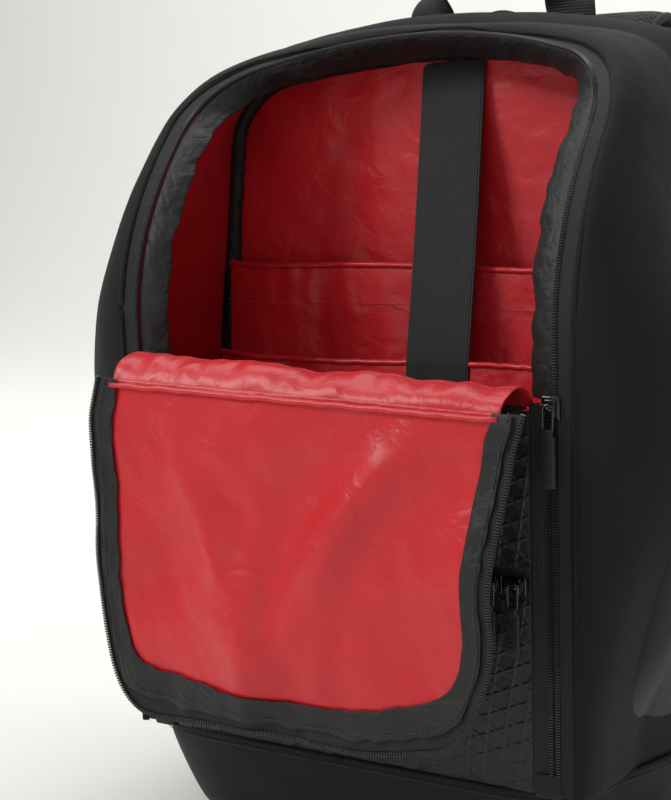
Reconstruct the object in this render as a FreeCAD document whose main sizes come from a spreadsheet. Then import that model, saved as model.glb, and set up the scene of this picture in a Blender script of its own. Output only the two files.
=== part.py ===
"""Racket backpack, standing on its base with its front flap unzipped and hanging open.

Millimetres, +Z up, -Y to the front of the bag, +Y to the wearer's back, X to the bag's right as
seen from the front. The origin is the middle of the flat base. The document's spreadsheet holds the
sizes. Panels that are flat or prismatic are PartDesign bodies, small hardware is PartDesign and Part
primitives, and the panels that curve two ways are lofts whose sections read the same sheet.
"""
import FreeCAD
import Part
import math
import os

import Sketcher

Vector = FreeCAD.Vector

SIZES = [
    ("base_height", 54, "top of the moulded base tub"),
    ("fold_height", 242, "where the unzipped front panel folds over"),
    ("bend_height", 280, "where the front face starts to curve back to the crown"),
    ("arch_spring", 374, "where the zipper's straight sides end"),
    ("arch_rise", 53, "height of the zipper arch above its spring line"),
    ("zip_half", 115, "half the distance between the two sides of the main zipper"),
    ("zip_corner", 40, "radius of the zipper's shoulder"),
    ("front_y", -92, "front face at the bend"),
    ("base_front_y", -76, "front face at the top of the base tub"),
    ("foot_front_y", -62, "front face at the ground"),
    ("crown_setback", 101, "how far the zipper arch's top lies behind the front face"),
    ("rear_half", 152, "half width of the racket compartment"),
    ("rear_corner", 56, "shoulder radius of the racket compartment"),
    ("rear_rise", 66, "height of the racket compartment above the spring line"),
    ("rear_foot_half", 138, "half width of the racket compartment at the ground"),
    ("rear_band", 19, "racket compartment's gusset behind its zipper"),
    ("divider_y", 46, "front of the divider between main and racket compartments"),
    ("gusset_end_y", 53.5, "rear edge of the main gusset"),
    ("back_y", 103, "rear edge of the racket compartment's gusset"),
    ("side_fold", 170, "half width of the bulged side at the fold"),
    ("side_base", 131, "half width of the side at the base tub"),
    ("side_foot", 113, "half width of the front corners at the ground"),
    ("side_spring", 140, "half width of the side at the spring line"),
    ("bulge_depth", 58, "front to back depth of the side's rounded corner"),
    ("shell_wall", 5, "gusset of coated fabric and foam"),
    ("tub_wall", 3, "moulded base tub"),
    ("lining_wall", 1, "lining cloth"),
    ("gap", 0.5, "clearance between sewn layers"),
    ("tape_edge", 10, "zipper tape, from the middle of the coil to its edge"),
    ("coil_width", 2.2, "one coil of a zipper"),
    ("coil_slot", 0.8, "half the gap between two coils, where a slider's post runs"),
    ("coil_height", 2.4, "thickness of a coil"),
    ("tape_wall", 1, "zipper tape"),
    ("facing_width", 12, "black facing that shows inside the opening"),
    ("fold_turn", 98, "turn of the fold strip from zipped shut to open"),
    ("flap_turn", 114, "further turn of the flap from the fold strip"),
    ("fold_reach", 35, "fold strip, from its own fold line to the flap's"),
    ("fold_wall", 3, "fold strip"),
    ("flap_edge_fold", 107, "half width of the flap at its fold end"),
    ("flap_wall", 3, "flap's outer panel"),
    ("fold_half", "=zip_half - 11", "half length of the folded roll"),
    ("panel_wall", 4, "lower front panel"),
    ("pocket_zip_z", 158, "front pocket's zipper"),
    ("pocket_zip_left", "=27 - zip_half", "left end of the front pocket's zipper"),
    ("pocket_zip_right", "=zip_half - 12", "right end of the front pocket's zipper"),
    ("board_wall", 3, "stiffener in the base"),
    ("sheet_wall", 1.6, "plastic frame sheet in the back"),
    ("divider_wall", 4, "padded divider"),
    ("sleeve_top", 305, "top edge of the laptop sleeve"),
    ("sleeve_half", "=min(side_base; rear_half) + 6", "half width of the laptop sleeve"),
    ("sleeve_y", 28, "front face of the laptop sleeve"),
    ("organizer_top", 254, "top edge of the organizer pocket"),
    ("organizer_half", "=min(side_base; rear_half) + 0.5", "half width of the organizer pocket"),
    ("organizer_y", 9, "front face of the organizer pocket"),
    ("pocket_wall", 2, "inner pockets' cloth"),
    ("webbing_width", 38, "retaining strap across the laptop"),
    ("webbing_wall", 1.8, "retaining strap's thickness"),
    ("strap_foot", 26, "length of the strap's sewn end below the pocket's edge"),
    ("strap_top", "=arch_spring + 42", "top end of the retaining strap"),
    ("slider_width", 9, "zipper slider"),
    ("slider_length", 11, "zipper slider"),
    ("slider_plate", 1.4, "one plate of a slider"),
    ("slider_play", 0.4, "clearance between a slider's plates and the coils"),
    ("post_width", 1, "post that joins a slider's plates"),
    ("eye_radius", 1.3, "hole in a pull's link"),
    ("bar_radius", 0.9, "bar on a slider that carries the link"),
    ("link_drop", 12, "from the slider's bar to the rubber tab"),
    ("tab_width", 7, "rubber pull tab"),
    ("tab_length", 25, "rubber pull tab"),
    ("tab_wall", 2.2, "rubber pull tab"),
    ("main_slider_z", 244, "sliders of the main zipper, at the fold"),
    ("racket_slider_z", 340, "slider of the racket compartment"),
    ("pocket_bulge", 18, "how far a bottle pocket stands out"),
    ("bottle_top", 190, "top edge of the bottle pockets"),
    ("elastic_height", 9, "elastic binding on a bottle pocket"),
    ("pad_wall", 11, "back pads"),
    ("pad_half", 58, "width of one back pad"),
    ("pad_gap", 24, "air channel between the back pads"),
    ("handle_half", 59, "half width of the haul handle's feet"),
    ("handle_rise", 48, "height of the haul handle above its fold"),
    ("handle_leg", 30, "width of the haul handle's webbing at its foot"),
    ("handle_wall", 4, "haul handle"),
    ("handle_z", "=arch_spring + 70", "fold axis of the haul handle"),
    ("loop_width", 50, "small loop between the haul handle's feet"),
    ("loop_depth", 20, "webbing of the small loop"),
    ("strap_width", 58, "padded shoulder strap"),
    ("strap_wall", 11, "padded shoulder strap"),
    ("tail_width", 25, "adjusting webbing of a shoulder strap"),
    ("tail_wall", 2, "adjusting webbing of a shoulder strap"),
    ("lock_width", 32, "ladder lock"),
    ("lock_length", 30, "ladder lock"),
    ("lock_wall", 4, "ladder lock"),
]

doc = FreeCAD.newDocument("racket_backpack")
sheet = doc.addObject("Spreadsheet::Sheet", "sizes")
for row, (alias, value, note) in enumerate(SIZES, 1):
    sheet.set(f"A{row}", alias)
    sheet.set(f"B{row}", str(value))
    sheet.set(f"C{row}", note)
    sheet.setAlias(f"B{row}", alias)
doc.recompute()


class Sheet:
    """Reads a size from the spreadsheet by its alias."""

    def __getattr__(self, alias):
        return float(sheet.get(alias))


s = Sheet()
nodes = []

# ---------------------------------------------------------------- the bag's outer form

arch_top = s.arch_spring + s.arch_rise
rear_top = s.arch_spring + s.rear_rise
side_tape_half = s.zip_half + s.tape_edge
lower_slope = (s.front_y - s.base_front_y) / (s.bend_height - s.base_height)
lower_lean = math.degrees(math.atan(lower_slope))
lower_fold_z = s.fold_height + s.panel_wall
upper_fold_z = lower_fold_z + s.fold_reach
fold_room = s.flap_wall / 2 * math.tan(math.radians(s.flap_turn / 2)) + s.gap
flap_start = upper_fold_z + fold_room


def blend(low, high, share):
    """Smooth step from low to high."""
    share = min(max(share, 0.0), 1.0)
    return low + (high - low) * share * share * (3 - 2 * share)


def front(z):
    """Y of the front face at height z: two straight stretches, then a parabola over the crown."""
    if z <= s.base_height:
        return s.foot_front_y + (s.base_front_y - s.foot_front_y) * z / s.base_height
    if z <= s.bend_height:
        return s.base_front_y + lower_slope * (z - s.base_height)
    share = (z - s.bend_height) / (arch_top - s.bend_height)
    return s.front_y + s.crown_setback * share * share


def side_half(z):
    """Half width of the bulged side at height z."""
    if z <= s.base_height:
        return blend(s.side_foot, s.side_base, z / s.base_height)
    if z <= s.fold_height:
        return blend(s.side_base, s.side_fold, (z - s.base_height) / (s.fold_height - s.base_height))
    return blend(s.side_fold, s.side_spring, (z - s.fold_height) / (s.arch_spring - s.fold_height))


def rear_half(z):
    """Half width of the racket compartment at height z, which narrows only in the base tub."""
    if z >= s.base_height:
        return s.rear_half
    return s.rear_foot_half + (s.rear_half - s.rear_foot_half) * z / s.base_height


class Arch:
    """Outline of straight sides, two shoulders and a crown, all tangent, that can be inset."""

    def __init__(self, half, corner, rise):
        self.half, self.corner, self.rise = half, corner, rise
        self.crown = ((half - corner) ** 2 + rise**2 - corner**2) / (2 * (rise - corner))
        self.crown_z = s.arch_spring + rise - self.crown
        self.turn = math.atan2(s.arch_spring - self.crown_z, half - corner)

    def point(self, angle, inset=0.0):
        """Point and outward normal where the outline's normal stands at angle, from +X."""
        normal = Vector(math.cos(angle), 0, math.sin(angle))
        if self.turn <= angle <= math.pi - self.turn:
            centre, radius = Vector(0, 0, self.crown_z), self.crown
        else:
            side = 1 if angle < self.turn else -1
            centre, radius = Vector(side * (self.half - self.corner), 0, s.arch_spring), self.corner
        return centre + normal * (radius - inset), normal

    def edges(self, inset, foot, foot_half=None):
        """Edges from the right foot up over the crown to the left foot."""
        at = [self.point(a, inset)[0] for a in
              (0, self.turn / 2, self.turn, math.pi / 2, math.pi - self.turn, math.pi - self.turn / 2, math.pi)]
        half = (self.half if foot_half is None else foot_half) - inset
        right, left = Vector(half, 0, foot), Vector(-half, 0, foot)
        return [
            Part.LineSegment(right, at[0]).toShape(),
            Part.Arc(at[0], at[1], at[2]).toShape(),
            Part.Arc(at[2], at[3], at[4]).toShape(),
            Part.Arc(at[4], at[5], at[6]).toShape(),
            Part.LineSegment(at[6], left).toShape(),
        ], right, left

    def plate(self, inset, foot, y_low, y_high, foot_half=None):
        """Solid plate with this outline, from y_low to y_high."""
        edges, right, left = self.edges(inset, foot, foot_half)
        wire = Part.Wire(edges + [Part.LineSegment(left, right).toShape()])
        face = Part.Face(wire)
        face.translate(Vector(0, y_low, 0))
        return face.extrude(Vector(0, y_high - y_low, 0))

    def band(self, outer, inner, foot, y_low, y_high, foot_half=None):
        """Solid band between two insets, open at its foot."""
        outside = self.plate(outer, foot, y_low, y_high, foot_half)
        return outside.cut(self.plate(inner, foot - 1, y_low - 1, y_high + 1, foot_half))


zip_arch = Arch(s.zip_half, s.zip_corner, s.arch_rise)
rear_arch = Arch(s.rear_half, s.rear_corner, s.rear_rise)


def rear_reach(start, normal):
    """Distance from start along normal to the racket compartment's outline."""
    low, high = 0.0, s.rear_half
    for _ in range(40):
        reach = (low + high) / 2
        spot = start + normal * reach
        if spot.z <= s.arch_spring:
            inside = abs(spot.x) < s.rear_half
        else:
            side_x = s.rear_half - s.rear_corner
            in_crown = math.hypot(spot.x, spot.z - rear_arch.crown_z) < rear_arch.crown
            past_side = abs(spot.x) - side_x
            in_corner = past_side < 0 or math.hypot(past_side, spot.z - s.arch_spring) < s.rear_corner
            angle = math.atan2(spot.z - rear_arch.crown_z, abs(spot.x))
            inside = in_crown if angle > rear_arch.turn else in_corner
        low, high = (reach, high) if inside else (low, reach)
    return low


def gusset_profile(start, normal, inset, y_end):
    """Section of the main gusset: from the zipper tape's edge round the bulge to y_end, inset inwards."""
    z = min(start.z, s.arch_spring)
    edge = s.tape_edge
    begin = start + normal * edge
    y_begin = front(begin.z) + s.gap + s.tape_wall
    reach = rear_reach(start, normal)
    lift = max(side_half(z) - side_tape_half, 0.0) if start.z <= s.arch_spring else None
    if lift is None:
        share = (start.z - s.arch_spring) / s.arch_rise
        lift = (s.side_spring - side_tape_half) * (1 - share) + (reach - edge) * 0.35 * share
    depth = min(s.bulge_depth, (s.gusset_end_y - y_begin) * 0.7)
    outline = [(edge, y_begin)]
    for turn in (35, 65, 90):
        a = math.radians(turn)
        outline.append((edge + lift * math.sin(a), y_begin + depth * (1 - math.cos(a))))
    outline.append((reach, s.gusset_end_y))
    shifted = []
    for i, (u, y) in enumerate(outline):
        before, after = outline[max(i - 1, 0)], outline[min(i + 1, len(outline) - 1)]
        du, dy = after[0] - before[0], after[1] - before[1]
        size = math.hypot(du, dy)
        shifted.append((u - dy / size * inset, y + du / size * inset))
    cut = []
    for (u0, y0), (u1, y1) in zip(shifted, shifted[1:]):
        cut.append((u0, y0))
        if y1 >= y_end:
            cut.append((u0 + (u1 - u0) * (y_end - y0) / (y1 - y0), y_end))
            break
    else:
        u0, y0 = shifted[-1]
        cut.append((u0, y_end))
    while len(cut) < len(outline):
        cut.insert(-1, ((cut[-2][0] + cut[-1][0]) / 2, (cut[-2][1] + cut[-1][1]) / 2))
    return [start + normal * u + Vector(0, y, 0) for u, y in cut]


def shell_section(start, normal, outer, inner, y_end):
    """Closed wire between two insets of the gusset's section."""
    outside = gusset_profile(start, normal, outer, y_end)
    inside = gusset_profile(start, normal, inner, y_end)
    ring = outside + inside[::-1]
    return Part.makePolygon(ring + ring[:1])


def side_shell(outer, inner, y_end):
    """Right-hand gusset between two insets, from the base tub to the spring line."""
    heights = [s.base_height + s.gap, s.base_height + 60, 190, s.fold_height, 320, s.arch_spring - s.gap]
    sections = [shell_section(Vector(s.zip_half, 0, z), Vector(1, 0, 0), outer, inner, y_end) for z in heights]
    return Part.makeLoft(sections, True, True)


def top_shell(outer, inner, y_end):
    """Gusset over the shoulders and the crown between two insets."""
    turn = math.degrees(zip_arch.turn)
    angles = [turn * share for share in (0, 0.3, 0.6, 1)] + [(turn + 90) / 2, 90]
    angles += [180 - a for a in angles[-2::-1]]
    sections = []
    for angle in angles:
        start, normal = zip_arch.point(math.radians(angle))
        sections.append(shell_section(start, normal, outer, inner, y_end))
    return Part.makeLoft(sections, True, True)


def inside_shell(solid):
    """What is left of solid inside the main gusset and its lining."""
    inner = s.shell_wall + s.lining_wall + 2 * s.gap
    shells = [side_shell(-s.gap, inner, s.gusset_end_y), top_shell(-s.gap, inner, s.gusset_end_y)]
    shells.append(shells[0].mirror(Vector(), Vector(1, 0, 0)))
    left = solid
    for shell in shells:
        left = left.cut(shell)
    return max(left.Solids, key=lambda part: part.Volume)


def front_sheet(shift_out, shift_in, low, high, half):
    """Sheet that follows the front face between heights low and high, set back between two shifts."""
    def stretch(z0, z1, shift):
        y0, y1 = front(z0) + shift, front(z1) + shift
        if z1 <= s.bend_height:
            return Part.LineSegment(Vector(-half, y0, z0), Vector(-half, y1, z1)).toShape()
        slope = 2 * s.crown_setback * (z0 - s.bend_height) / (arch_top - s.bend_height) ** 2
        middle = Vector(-half, y0 + slope * (z1 - z0) / 2, (z0 + z1) / 2)
        curve = Part.BezierCurve()
        curve.setPoles([Vector(-half, y0, z0), middle, Vector(-half, y1, z1)])
        return curve.toShape()

    stops = [low] + [z for z in (s.bend_height,) if low < z < high] + [high]
    outside = [stretch(z0, z1, shift_out) for z0, z1 in zip(stops, stops[1:])]
    inside = [stretch(z0, z1, shift_in) for z0, z1 in zip(stops, stops[1:])]
    ends = [
        Part.LineSegment(Vector(-half, front(z) + shift_out, z), Vector(-half, front(z) + shift_in, z)).toShape()
        for z in (low, high)
    ]
    face = Part.Face(Part.Wire(Part.__sortEdges__(outside + inside + ends)))
    return face.extrude(Vector(2 * half, 0, 0))


def zip_strip(outer, inner, shift_out, shift_in, low, high):
    """Strip along the main zipper between two insets, following the front face."""
    sheet_solid = front_sheet(shift_out, shift_in, low, high, s.zip_half + 2 * s.tape_edge)
    return sheet_solid.common(zip_arch.band(outer, inner, low - 1, -2 * s.back_y, 2 * s.back_y))


# ---------------------------------------------------------------- document objects


def feature(label, shape, placement=None):
    """Adds a shape to the document as one sub-part."""
    made = doc.addObject("Part::Feature", label)
    made.Label = label
    made.Shape = shape.removeSplitter() if len(shape.Solids) == 1 else shape
    made.Placement = placement or FreeCAD.Placement()
    nodes.append(made)
    return made


def mirrored(label, source):
    """Adds the left-hand twin of a right-hand sub-part."""
    return feature(label, source.Shape.mirror(Vector(0, 0, 0), Vector(1, 0, 0)))


def plane_of(body, role):
    """One of a body's own origin planes."""
    return next(f for f in body.Origin.OriginFeatures if f.Role == role)


def rectangle(body, role, width, height, name="outline"):
    """Sketch of a rectangle centred on the body's origin, its sides bound to two expressions."""
    sketch = body.newObject("Sketcher::SketchObject", name)
    sketch.AttachmentSupport = [(plane_of(body, role), "")]
    sketch.MapMode = "FlatFace"
    corners = [Vector(-5, -4, 0), Vector(5, -4, 0), Vector(5, 4, 0), Vector(-5, 4, 0)]
    for a, b in zip(corners, corners[1:] + corners[:1]):
        sketch.addGeometry(Part.LineSegment(a, b), False)
    for i in range(4):
        sketch.addConstraint(Sketcher.Constraint("Coincident", i, 2, (i + 1) % 4, 1))
    for i, kind in enumerate(("Horizontal", "Vertical", "Horizontal", "Vertical")):
        sketch.addConstraint(Sketcher.Constraint(kind, i))
    sketch.addConstraint(Sketcher.Constraint("Symmetric", 0, 1, 1, 2, -1, 1))
    wide = sketch.addConstraint(Sketcher.Constraint("DistanceX", 0, 1, 0, 2, 10))
    tall = sketch.addConstraint(Sketcher.Constraint("DistanceY", 1, 1, 1, 2, 8))
    sketch.setExpression(f"Constraints[{wide}]", width)
    sketch.setExpression(f"Constraints[{tall}]", height)
    return sketch


def plate(label, role, width, height, thickness, place, fillet=None):
    """PartDesign body: a rectangle padded by thickness, with place as expressions for X, Y and Z."""
    body = doc.addObject("PartDesign::Body", label)
    body.Label = label
    pad = body.newObject("PartDesign::Pad", label + "_pad")
    pad.Profile = rectangle(body, role, width, height, label + "_outline")
    pad.setExpression("Length", thickness)
    doc.recompute()
    if fillet:
        axis = {"XY_Plane": "z", "XZ_Plane": "y", "YZ_Plane": "x"}[role]
        names = [f"Edge{i}" for i, e in enumerate(pad.Shape.Edges, 1)
                 if abs(getattr(e.tangentAt(e.FirstParameter), axis)) > 0.99]
        rounded = body.newObject("PartDesign::Fillet", label + "_fillet")
        rounded.Base = (pad, names)
        rounded.setExpression("Radius", fillet)
        body.Tip = rounded
    for axis, expression in zip("xyz", place):
        body.setExpression(f".Placement.Base.{axis}", expression)
    doc.recompute()
    nodes.append(body)
    return body


# ---------------------------------------------------------------- base and back


def base_outline(z, inset):
    """Polygon of the base tub at height z."""
    corner = s.bulge_depth * 0.75
    half, rear, y = side_half(z) - inset, rear_half(z) - inset, front(z) + inset
    front_half = s.zip_half * side_half(z) / s.side_base - inset
    right = [
        Vector(front_half * 0.86, y, z),
        Vector((front_half * 0.86 + half) / 2 + 6, y + corner * 0.3, z),
        Vector(half, y + corner, z),
        Vector(rear, s.divider_y, z),
        Vector(rear, s.back_y - inset, z),
    ]
    ring = right + [Vector(-p.x, p.y, p.z) for p in right[::-1]]
    return Part.makePolygon(ring + ring[:1])


def build_base():
    """Moulded tub, the board that stiffens it and the lining on the board."""
    lower = s.base_height * 0.45
    outside = Part.makeLoft([base_outline(z, 0) for z in (0, lower, s.base_height)], True, True)
    heights = (s.tub_wall, lower, s.base_height + 1)
    inside = Part.makeLoft([base_outline(z, s.tub_wall) for z in heights], True, True)
    feature("base_tub", outside.cut(inside))
    plate("base_board", "XY_Plane", "sizes.side_foot * 2 - 26", "sizes.back_y - sizes.foot_front_y - 34",
          "sizes.board_wall", ("0", "(sizes.back_y + sizes.foot_front_y) / 2 + 4",
                               "sizes.tub_wall + sizes.gap"), "12")
    plate("base_lining", "XY_Plane", "sizes.side_foot * 2 - 26", "sizes.divider_y - sizes.foot_front_y - 26",
          "sizes.lining_wall", ("0", "(sizes.divider_y + sizes.foot_front_y) / 2",
                                "sizes.tub_wall + sizes.board_wall + 2 * sizes.gap"), "12")


def build_back():
    """Racket compartment's gusset, the back panel, its frame sheet and pads, and the divider."""
    foot = s.base_height + s.gap
    feature("rear_gusset", rear_arch.band(0, s.shell_wall, foot, s.back_y - s.rear_band, s.back_y))
    feature("back_panel", rear_arch.plate(0, foot, s.back_y + s.gap, s.back_y + s.gap + s.shell_wall))
    feature("frame_sheet", rear_arch.plate(s.shell_wall + 4, foot + 3, s.back_y - s.gap - s.sheet_wall,
                                           s.back_y - s.gap))
    divider = s.shell_wall + s.lining_wall + 2 * s.gap + 1
    wall = inside_shell(rear_arch.plate(divider, foot, s.divider_y, s.divider_y + s.divider_wall))
    feature("divider_panel", wall)
    lining = s.divider_y - s.gap
    cloth = inside_shell(rear_arch.plate(divider + 1, foot, lining - s.lining_wall, lining))
    feature("lining_back_wall", cloth)
    binding = lining - s.lining_wall - s.gap
    inner_half = s.rear_half - divider - 6
    depth = 5
    whole = inside_shell(rear_arch.plate(divider + 1, foot, binding - depth, binding))
    top = max(v.Z for v in whole.Vertexes)
    core = Arch(inner_half, s.rear_corner - divider, top - s.arch_spring - 5)
    feature("back_seam_binding", whole.cut(core.plate(0, foot - 1, binding - depth - 1, binding + 1)))
    pad_y = "sizes.back_y + 2 * sizes.gap + sizes.shell_wall + sizes.pad_wall"
    for side, sign in (("left", "-"), ("right", "")):
        plate(f"back_pad_{side}", "XZ_Plane", "sizes.pad_half * 1.5", "sizes.arch_spring - 110",
              "sizes.pad_wall", (f"{sign}(sizes.pad_gap / 2 + sizes.pad_half * 0.75)", pad_y,
                                 "(sizes.arch_spring + 70) / 2"), "18")


# ---------------------------------------------------------------- gusset, linings and facing


def build_gusset():
    """Main gusset in three panels, its lining, and the facing round the opening."""
    right = feature("gusset_right", side_shell(0, s.shell_wall, s.gusset_end_y))
    mirrored("gusset_left", right)
    feature("gusset_top", top_shell(0, s.shell_wall, s.gusset_end_y))
    inner = s.shell_wall + s.gap
    lining_end = s.divider_y - 2 * s.gap - s.lining_wall
    lining = feature("lining_right", side_shell(inner, inner + s.lining_wall, lining_end))
    mirrored("lining_left", lining)
    feature("lining_top", top_shell(inner, inner + s.lining_wall, lining_end))
    back = s.coil_height / 2 + s.slider_play + s.slider_plate + 2 * s.gap
    feature("opening_facing", zip_strip(-s.tape_edge * 0.4, s.facing_width, back, back + s.lining_wall,
                                        s.fold_height + 6, rear_top))


# ---------------------------------------------------------------- main zipper and flap


def build_main_zipper():
    """Tape and coil sewn to the bag, and the short ones sewn to the lower front panel."""
    foot = s.base_height + 12
    coil_out = s.coil_slot + s.coil_width
    half_coil, half_tape = s.coil_height / 2, s.tape_wall / 2
    feature("main_zip_tape", zip_strip(-s.tape_edge, -coil_out - 0.1, -half_tape, half_tape, foot, rear_top))
    feature("main_zip_coil", zip_strip(-coil_out, -s.coil_slot, -half_coil, half_coil, foot, rear_top))
    top = s.main_slider_z + s.slider_length / 2 - s.gap
    tapes = zip_strip(coil_out + 0.1, s.tape_edge, -half_tape, half_tape, foot, top)
    coils = zip_strip(s.coil_slot, coil_out, -half_coil, half_coil, foot, top)
    feature("front_zip_tapes", Part.makeCompound(tapes.Solids))
    feature("front_zip_coils", Part.makeCompound(coils.Solids))
    blocks = []
    for sign in (-1, 1):
        half = s.tape_edge - 2 * s.gap
        block = Part.makeBox(2 * half, 4, 11)
        block.translate(Vector(sign * s.zip_half - half, -2, 0))
        blocks.append(block.makeFillet(1.2, block.Edges))
    lean = FreeCAD.Rotation(Vector(1, 0, 0), -lower_lean)
    feature("zip_garages", Part.makeCompound(blocks),
            FreeCAD.Placement(Vector(0, front(s.base_height), s.base_height + s.gap), lean))


def flap_plate(inset, shift_out, shift_in):
    """Panel of the zipped-shut flap, inset from its own edge."""
    flap_arch = Arch(s.zip_half - s.coil_slot, s.zip_corner - s.coil_slot, s.arch_rise - s.coil_slot)
    solid = front_sheet(shift_out, shift_in, flap_start, rear_top, s.rear_half)
    return solid.common(flap_arch.plate(inset, flap_start - 1, -2 * s.back_y, 2 * s.back_y, s.flap_edge_fold))


def build_flap():
    """Unzipped front flap, modelled shut and then turned about both fold lines to hang open."""
    def strip(outer, inner, shift_out, shift_in):
        return flap_plate(outer, shift_out, shift_in).cut(flap_plate(inner, shift_out - 1, shift_in + 1))

    half_coil, half_tape, half_wall = s.coil_height / 2, s.tape_wall / 2, s.flap_wall / 2
    layer = half_wall + s.gap
    feature("flap_panel", flap_plate(s.tape_edge + 1, -half_wall, half_wall), flap_opened())
    feature("flap_zip_tape", strip(s.coil_width, s.tape_edge + 0.7, -half_tape, half_tape), flap_opened())
    feature("flap_zip_coil", strip(0, s.coil_width - 0.1, -half_coil, half_coil), flap_opened())
    feature("flap_lining", flap_plate(s.tape_edge + 3, layer, layer + s.lining_wall), flap_opened())
    feature("flap_binding", strip(s.tape_edge - 4, s.tape_edge + 2.5, layer, layer + s.lining_wall), flap_opened())


def fold_line(z):
    """Point of a fold line on the zipped-shut front face at height z."""
    return Vector(0, front(z), z)


def fold_opened():
    """Placement that turns the fold strip about its lower line."""
    return FreeCAD.Placement(Vector(), FreeCAD.Rotation(Vector(1, 0, 0), s.fold_turn), fold_line(lower_fold_z))


def flap_opened():
    """Placement that turns the flap about the strip's upper line, and with the strip."""
    turn = FreeCAD.Rotation(Vector(1, 0, 0), s.flap_turn)
    return fold_opened().multiply(FreeCAD.Placement(Vector(), turn, fold_line(upper_fold_z)))


def build_fold():
    """Strip of cloth between the lower panel and the flap, with a fold line along each long edge."""
    low, high = lower_fold_z + s.fold_wall / 2 + s.gap, upper_fold_z - fold_room
    feature("flap_fold", front_sheet(-s.fold_wall / 2, s.fold_wall / 2, low, high, s.fold_half), fold_opened())


# ---------------------------------------------------------------- lower front


def on_front(z, shift=0.0):
    """Placement on the leaning lower front at height z, local X across and local Z up the face."""
    return FreeCAD.Placement(Vector(0, front(z) + shift, z), FreeCAD.Rotation(Vector(1, 0, 0), -lower_lean))


def build_lower_front():
    """Lower front panel with its pocket zipper, and the pocket's bag behind it."""
    half = s.zip_half - s.tape_edge - 0.3
    middle = s.pocket_zip_z
    low, high = s.base_height + s.gap - middle, s.fold_height - s.gap - middle
    panel = Part.makeBox(2 * half, s.panel_wall, high - low, Vector(-half, -1, low))
    right = min(s.pocket_zip_right, half - 2)
    slot_width = right - s.pocket_zip_left
    slot = Part.makeBox(slot_width, 4 * s.panel_wall, 14, Vector(s.pocket_zip_left, -2 * s.panel_wall, -7))
    feature("front_panel", panel.cut(slot), on_front(middle))
    length = slot_width - 2 * s.gap
    coil_out = s.coil_slot + s.coil_width
    tapes, coils = [], []
    for sign in (-1, 1):
        low_tape, low_coil = (coil_out + 0.1, s.coil_slot) if sign > 0 else (-6.7, -coil_out)
        tapes.append(Part.makeBox(length, s.tape_wall, 6.6 - coil_out,
                                  Vector(s.pocket_zip_left + s.gap, -s.tape_wall / 2, low_tape)))
        coils.append(Part.makeBox(length, s.coil_height, s.coil_width,
                                  Vector(s.pocket_zip_left + s.gap, -s.coil_height / 2, low_coil)))
    feature("pocket_zip_tapes", Part.makeCompound(tapes), on_front(middle))
    feature("pocket_zip_coils", Part.makeCompound(coils), on_front(middle))
    pouch_high, pouch_low = 22, s.base_height + 18 - middle
    outer = Part.makeBox(2 * half - 16, 9, pouch_high - pouch_low, Vector(8 - half, 4.5, pouch_low))
    inner = Part.makeBox(2 * half - 18, 7.5, pouch_high - pouch_low - 2, Vector(9 - half, 3.5, pouch_low + 1))
    feature("front_pocket_pouch", outer.cut(inner), on_front(middle))


# ---------------------------------------------------------------- inner pockets and strap


def build_inner_pockets():
    """Laptop sleeve, organizer pocket and the webbing that holds a laptop down."""
    foot = "(sizes.base_height + 8)"
    for label, half, top, y in (
        ("laptop_sleeve", "sleeve_half", "sleeve_top", "sleeve_y"),
        ("organizer_pocket", "organizer_half", "organizer_top", "organizer_y"),
    ):
        plate(label, "XZ_Plane", f"sizes.{half} * 2", f"sizes.{top} - {foot}", "sizes.pocket_wall",
              ("0", f"sizes.{y} + sizes.pocket_wall", f"(sizes.{top} + {foot}) / 2"), "6")
    wall = s.webbing_wall
    sewn_y = s.organizer_y - s.gap - wall
    top_y = s.divider_y - 2 * s.gap - s.lining_wall - wall - 0.5
    low, bend, high = s.organizer_top - s.strap_foot, s.organizer_top + 6, s.strap_top
    side = [(sewn_y, low), (sewn_y, bend), (top_y, high), (top_y + wall, high), (sewn_y + wall, bend),
            (sewn_y + wall, low)]
    ring = [Vector(-s.webbing_width / 2, y, z) for y, z in side]
    face = Part.Face(Part.makePolygon(ring + ring[:1]))
    feature("laptop_strap", face.extrude(Vector(s.webbing_width, 0, 0)))


# ---------------------------------------------------------------- sliders and pulls

racket_zip_y = (s.gusset_end_y + s.back_y - s.rear_band) / 2
bar_rise = s.coil_height / 2 + s.slider_play + s.slider_plate + 2.6


def slider(label, placement):
    """Two plates joined by a thin post, with a bar for the pull. Local -Y faces out, Z is the track."""
    inner = s.coil_height / 2 + s.slider_play
    width, length, wall = s.slider_width, s.slider_length, s.slider_plate
    front_plate = Part.makeBox(width, wall, length, Vector(-width / 2, -inner - wall, -length / 2))
    rear_plate = Part.makeBox(width, wall, length, Vector(-width / 2, inner, -length / 2))
    vertical = [e for e in front_plate.Edges if abs(e.tangentAt(e.FirstParameter).y) > 0.99]
    front_plate = front_plate.makeFillet(2.2, vertical)
    vertical = [e for e in rear_plate.Edges if abs(e.tangentAt(e.FirstParameter).y) > 0.99]
    rear_plate = rear_plate.makeFillet(2.2, vertical)
    post = Part.makeBox(s.post_width, 2 * inner + wall, 2.6,
                        Vector(-s.post_width / 2, -inner - wall / 2, length / 2 - 3.4))
    cheeks = [Part.makeBox(1.2, bar_rise + s.bar_radius - inner - wall / 2, 4,
                           Vector(x, -bar_rise - s.bar_radius, -2)) for x in (-3.4, 2.2)]
    bar = Part.makeCylinder(s.bar_radius, 6, Vector(-3, -bar_rise, 0), Vector(1, 0, 0))
    solid = front_plate.multiFuse([rear_plate, post, bar] + cheeks)
    return feature(label, solid, placement)


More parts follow.
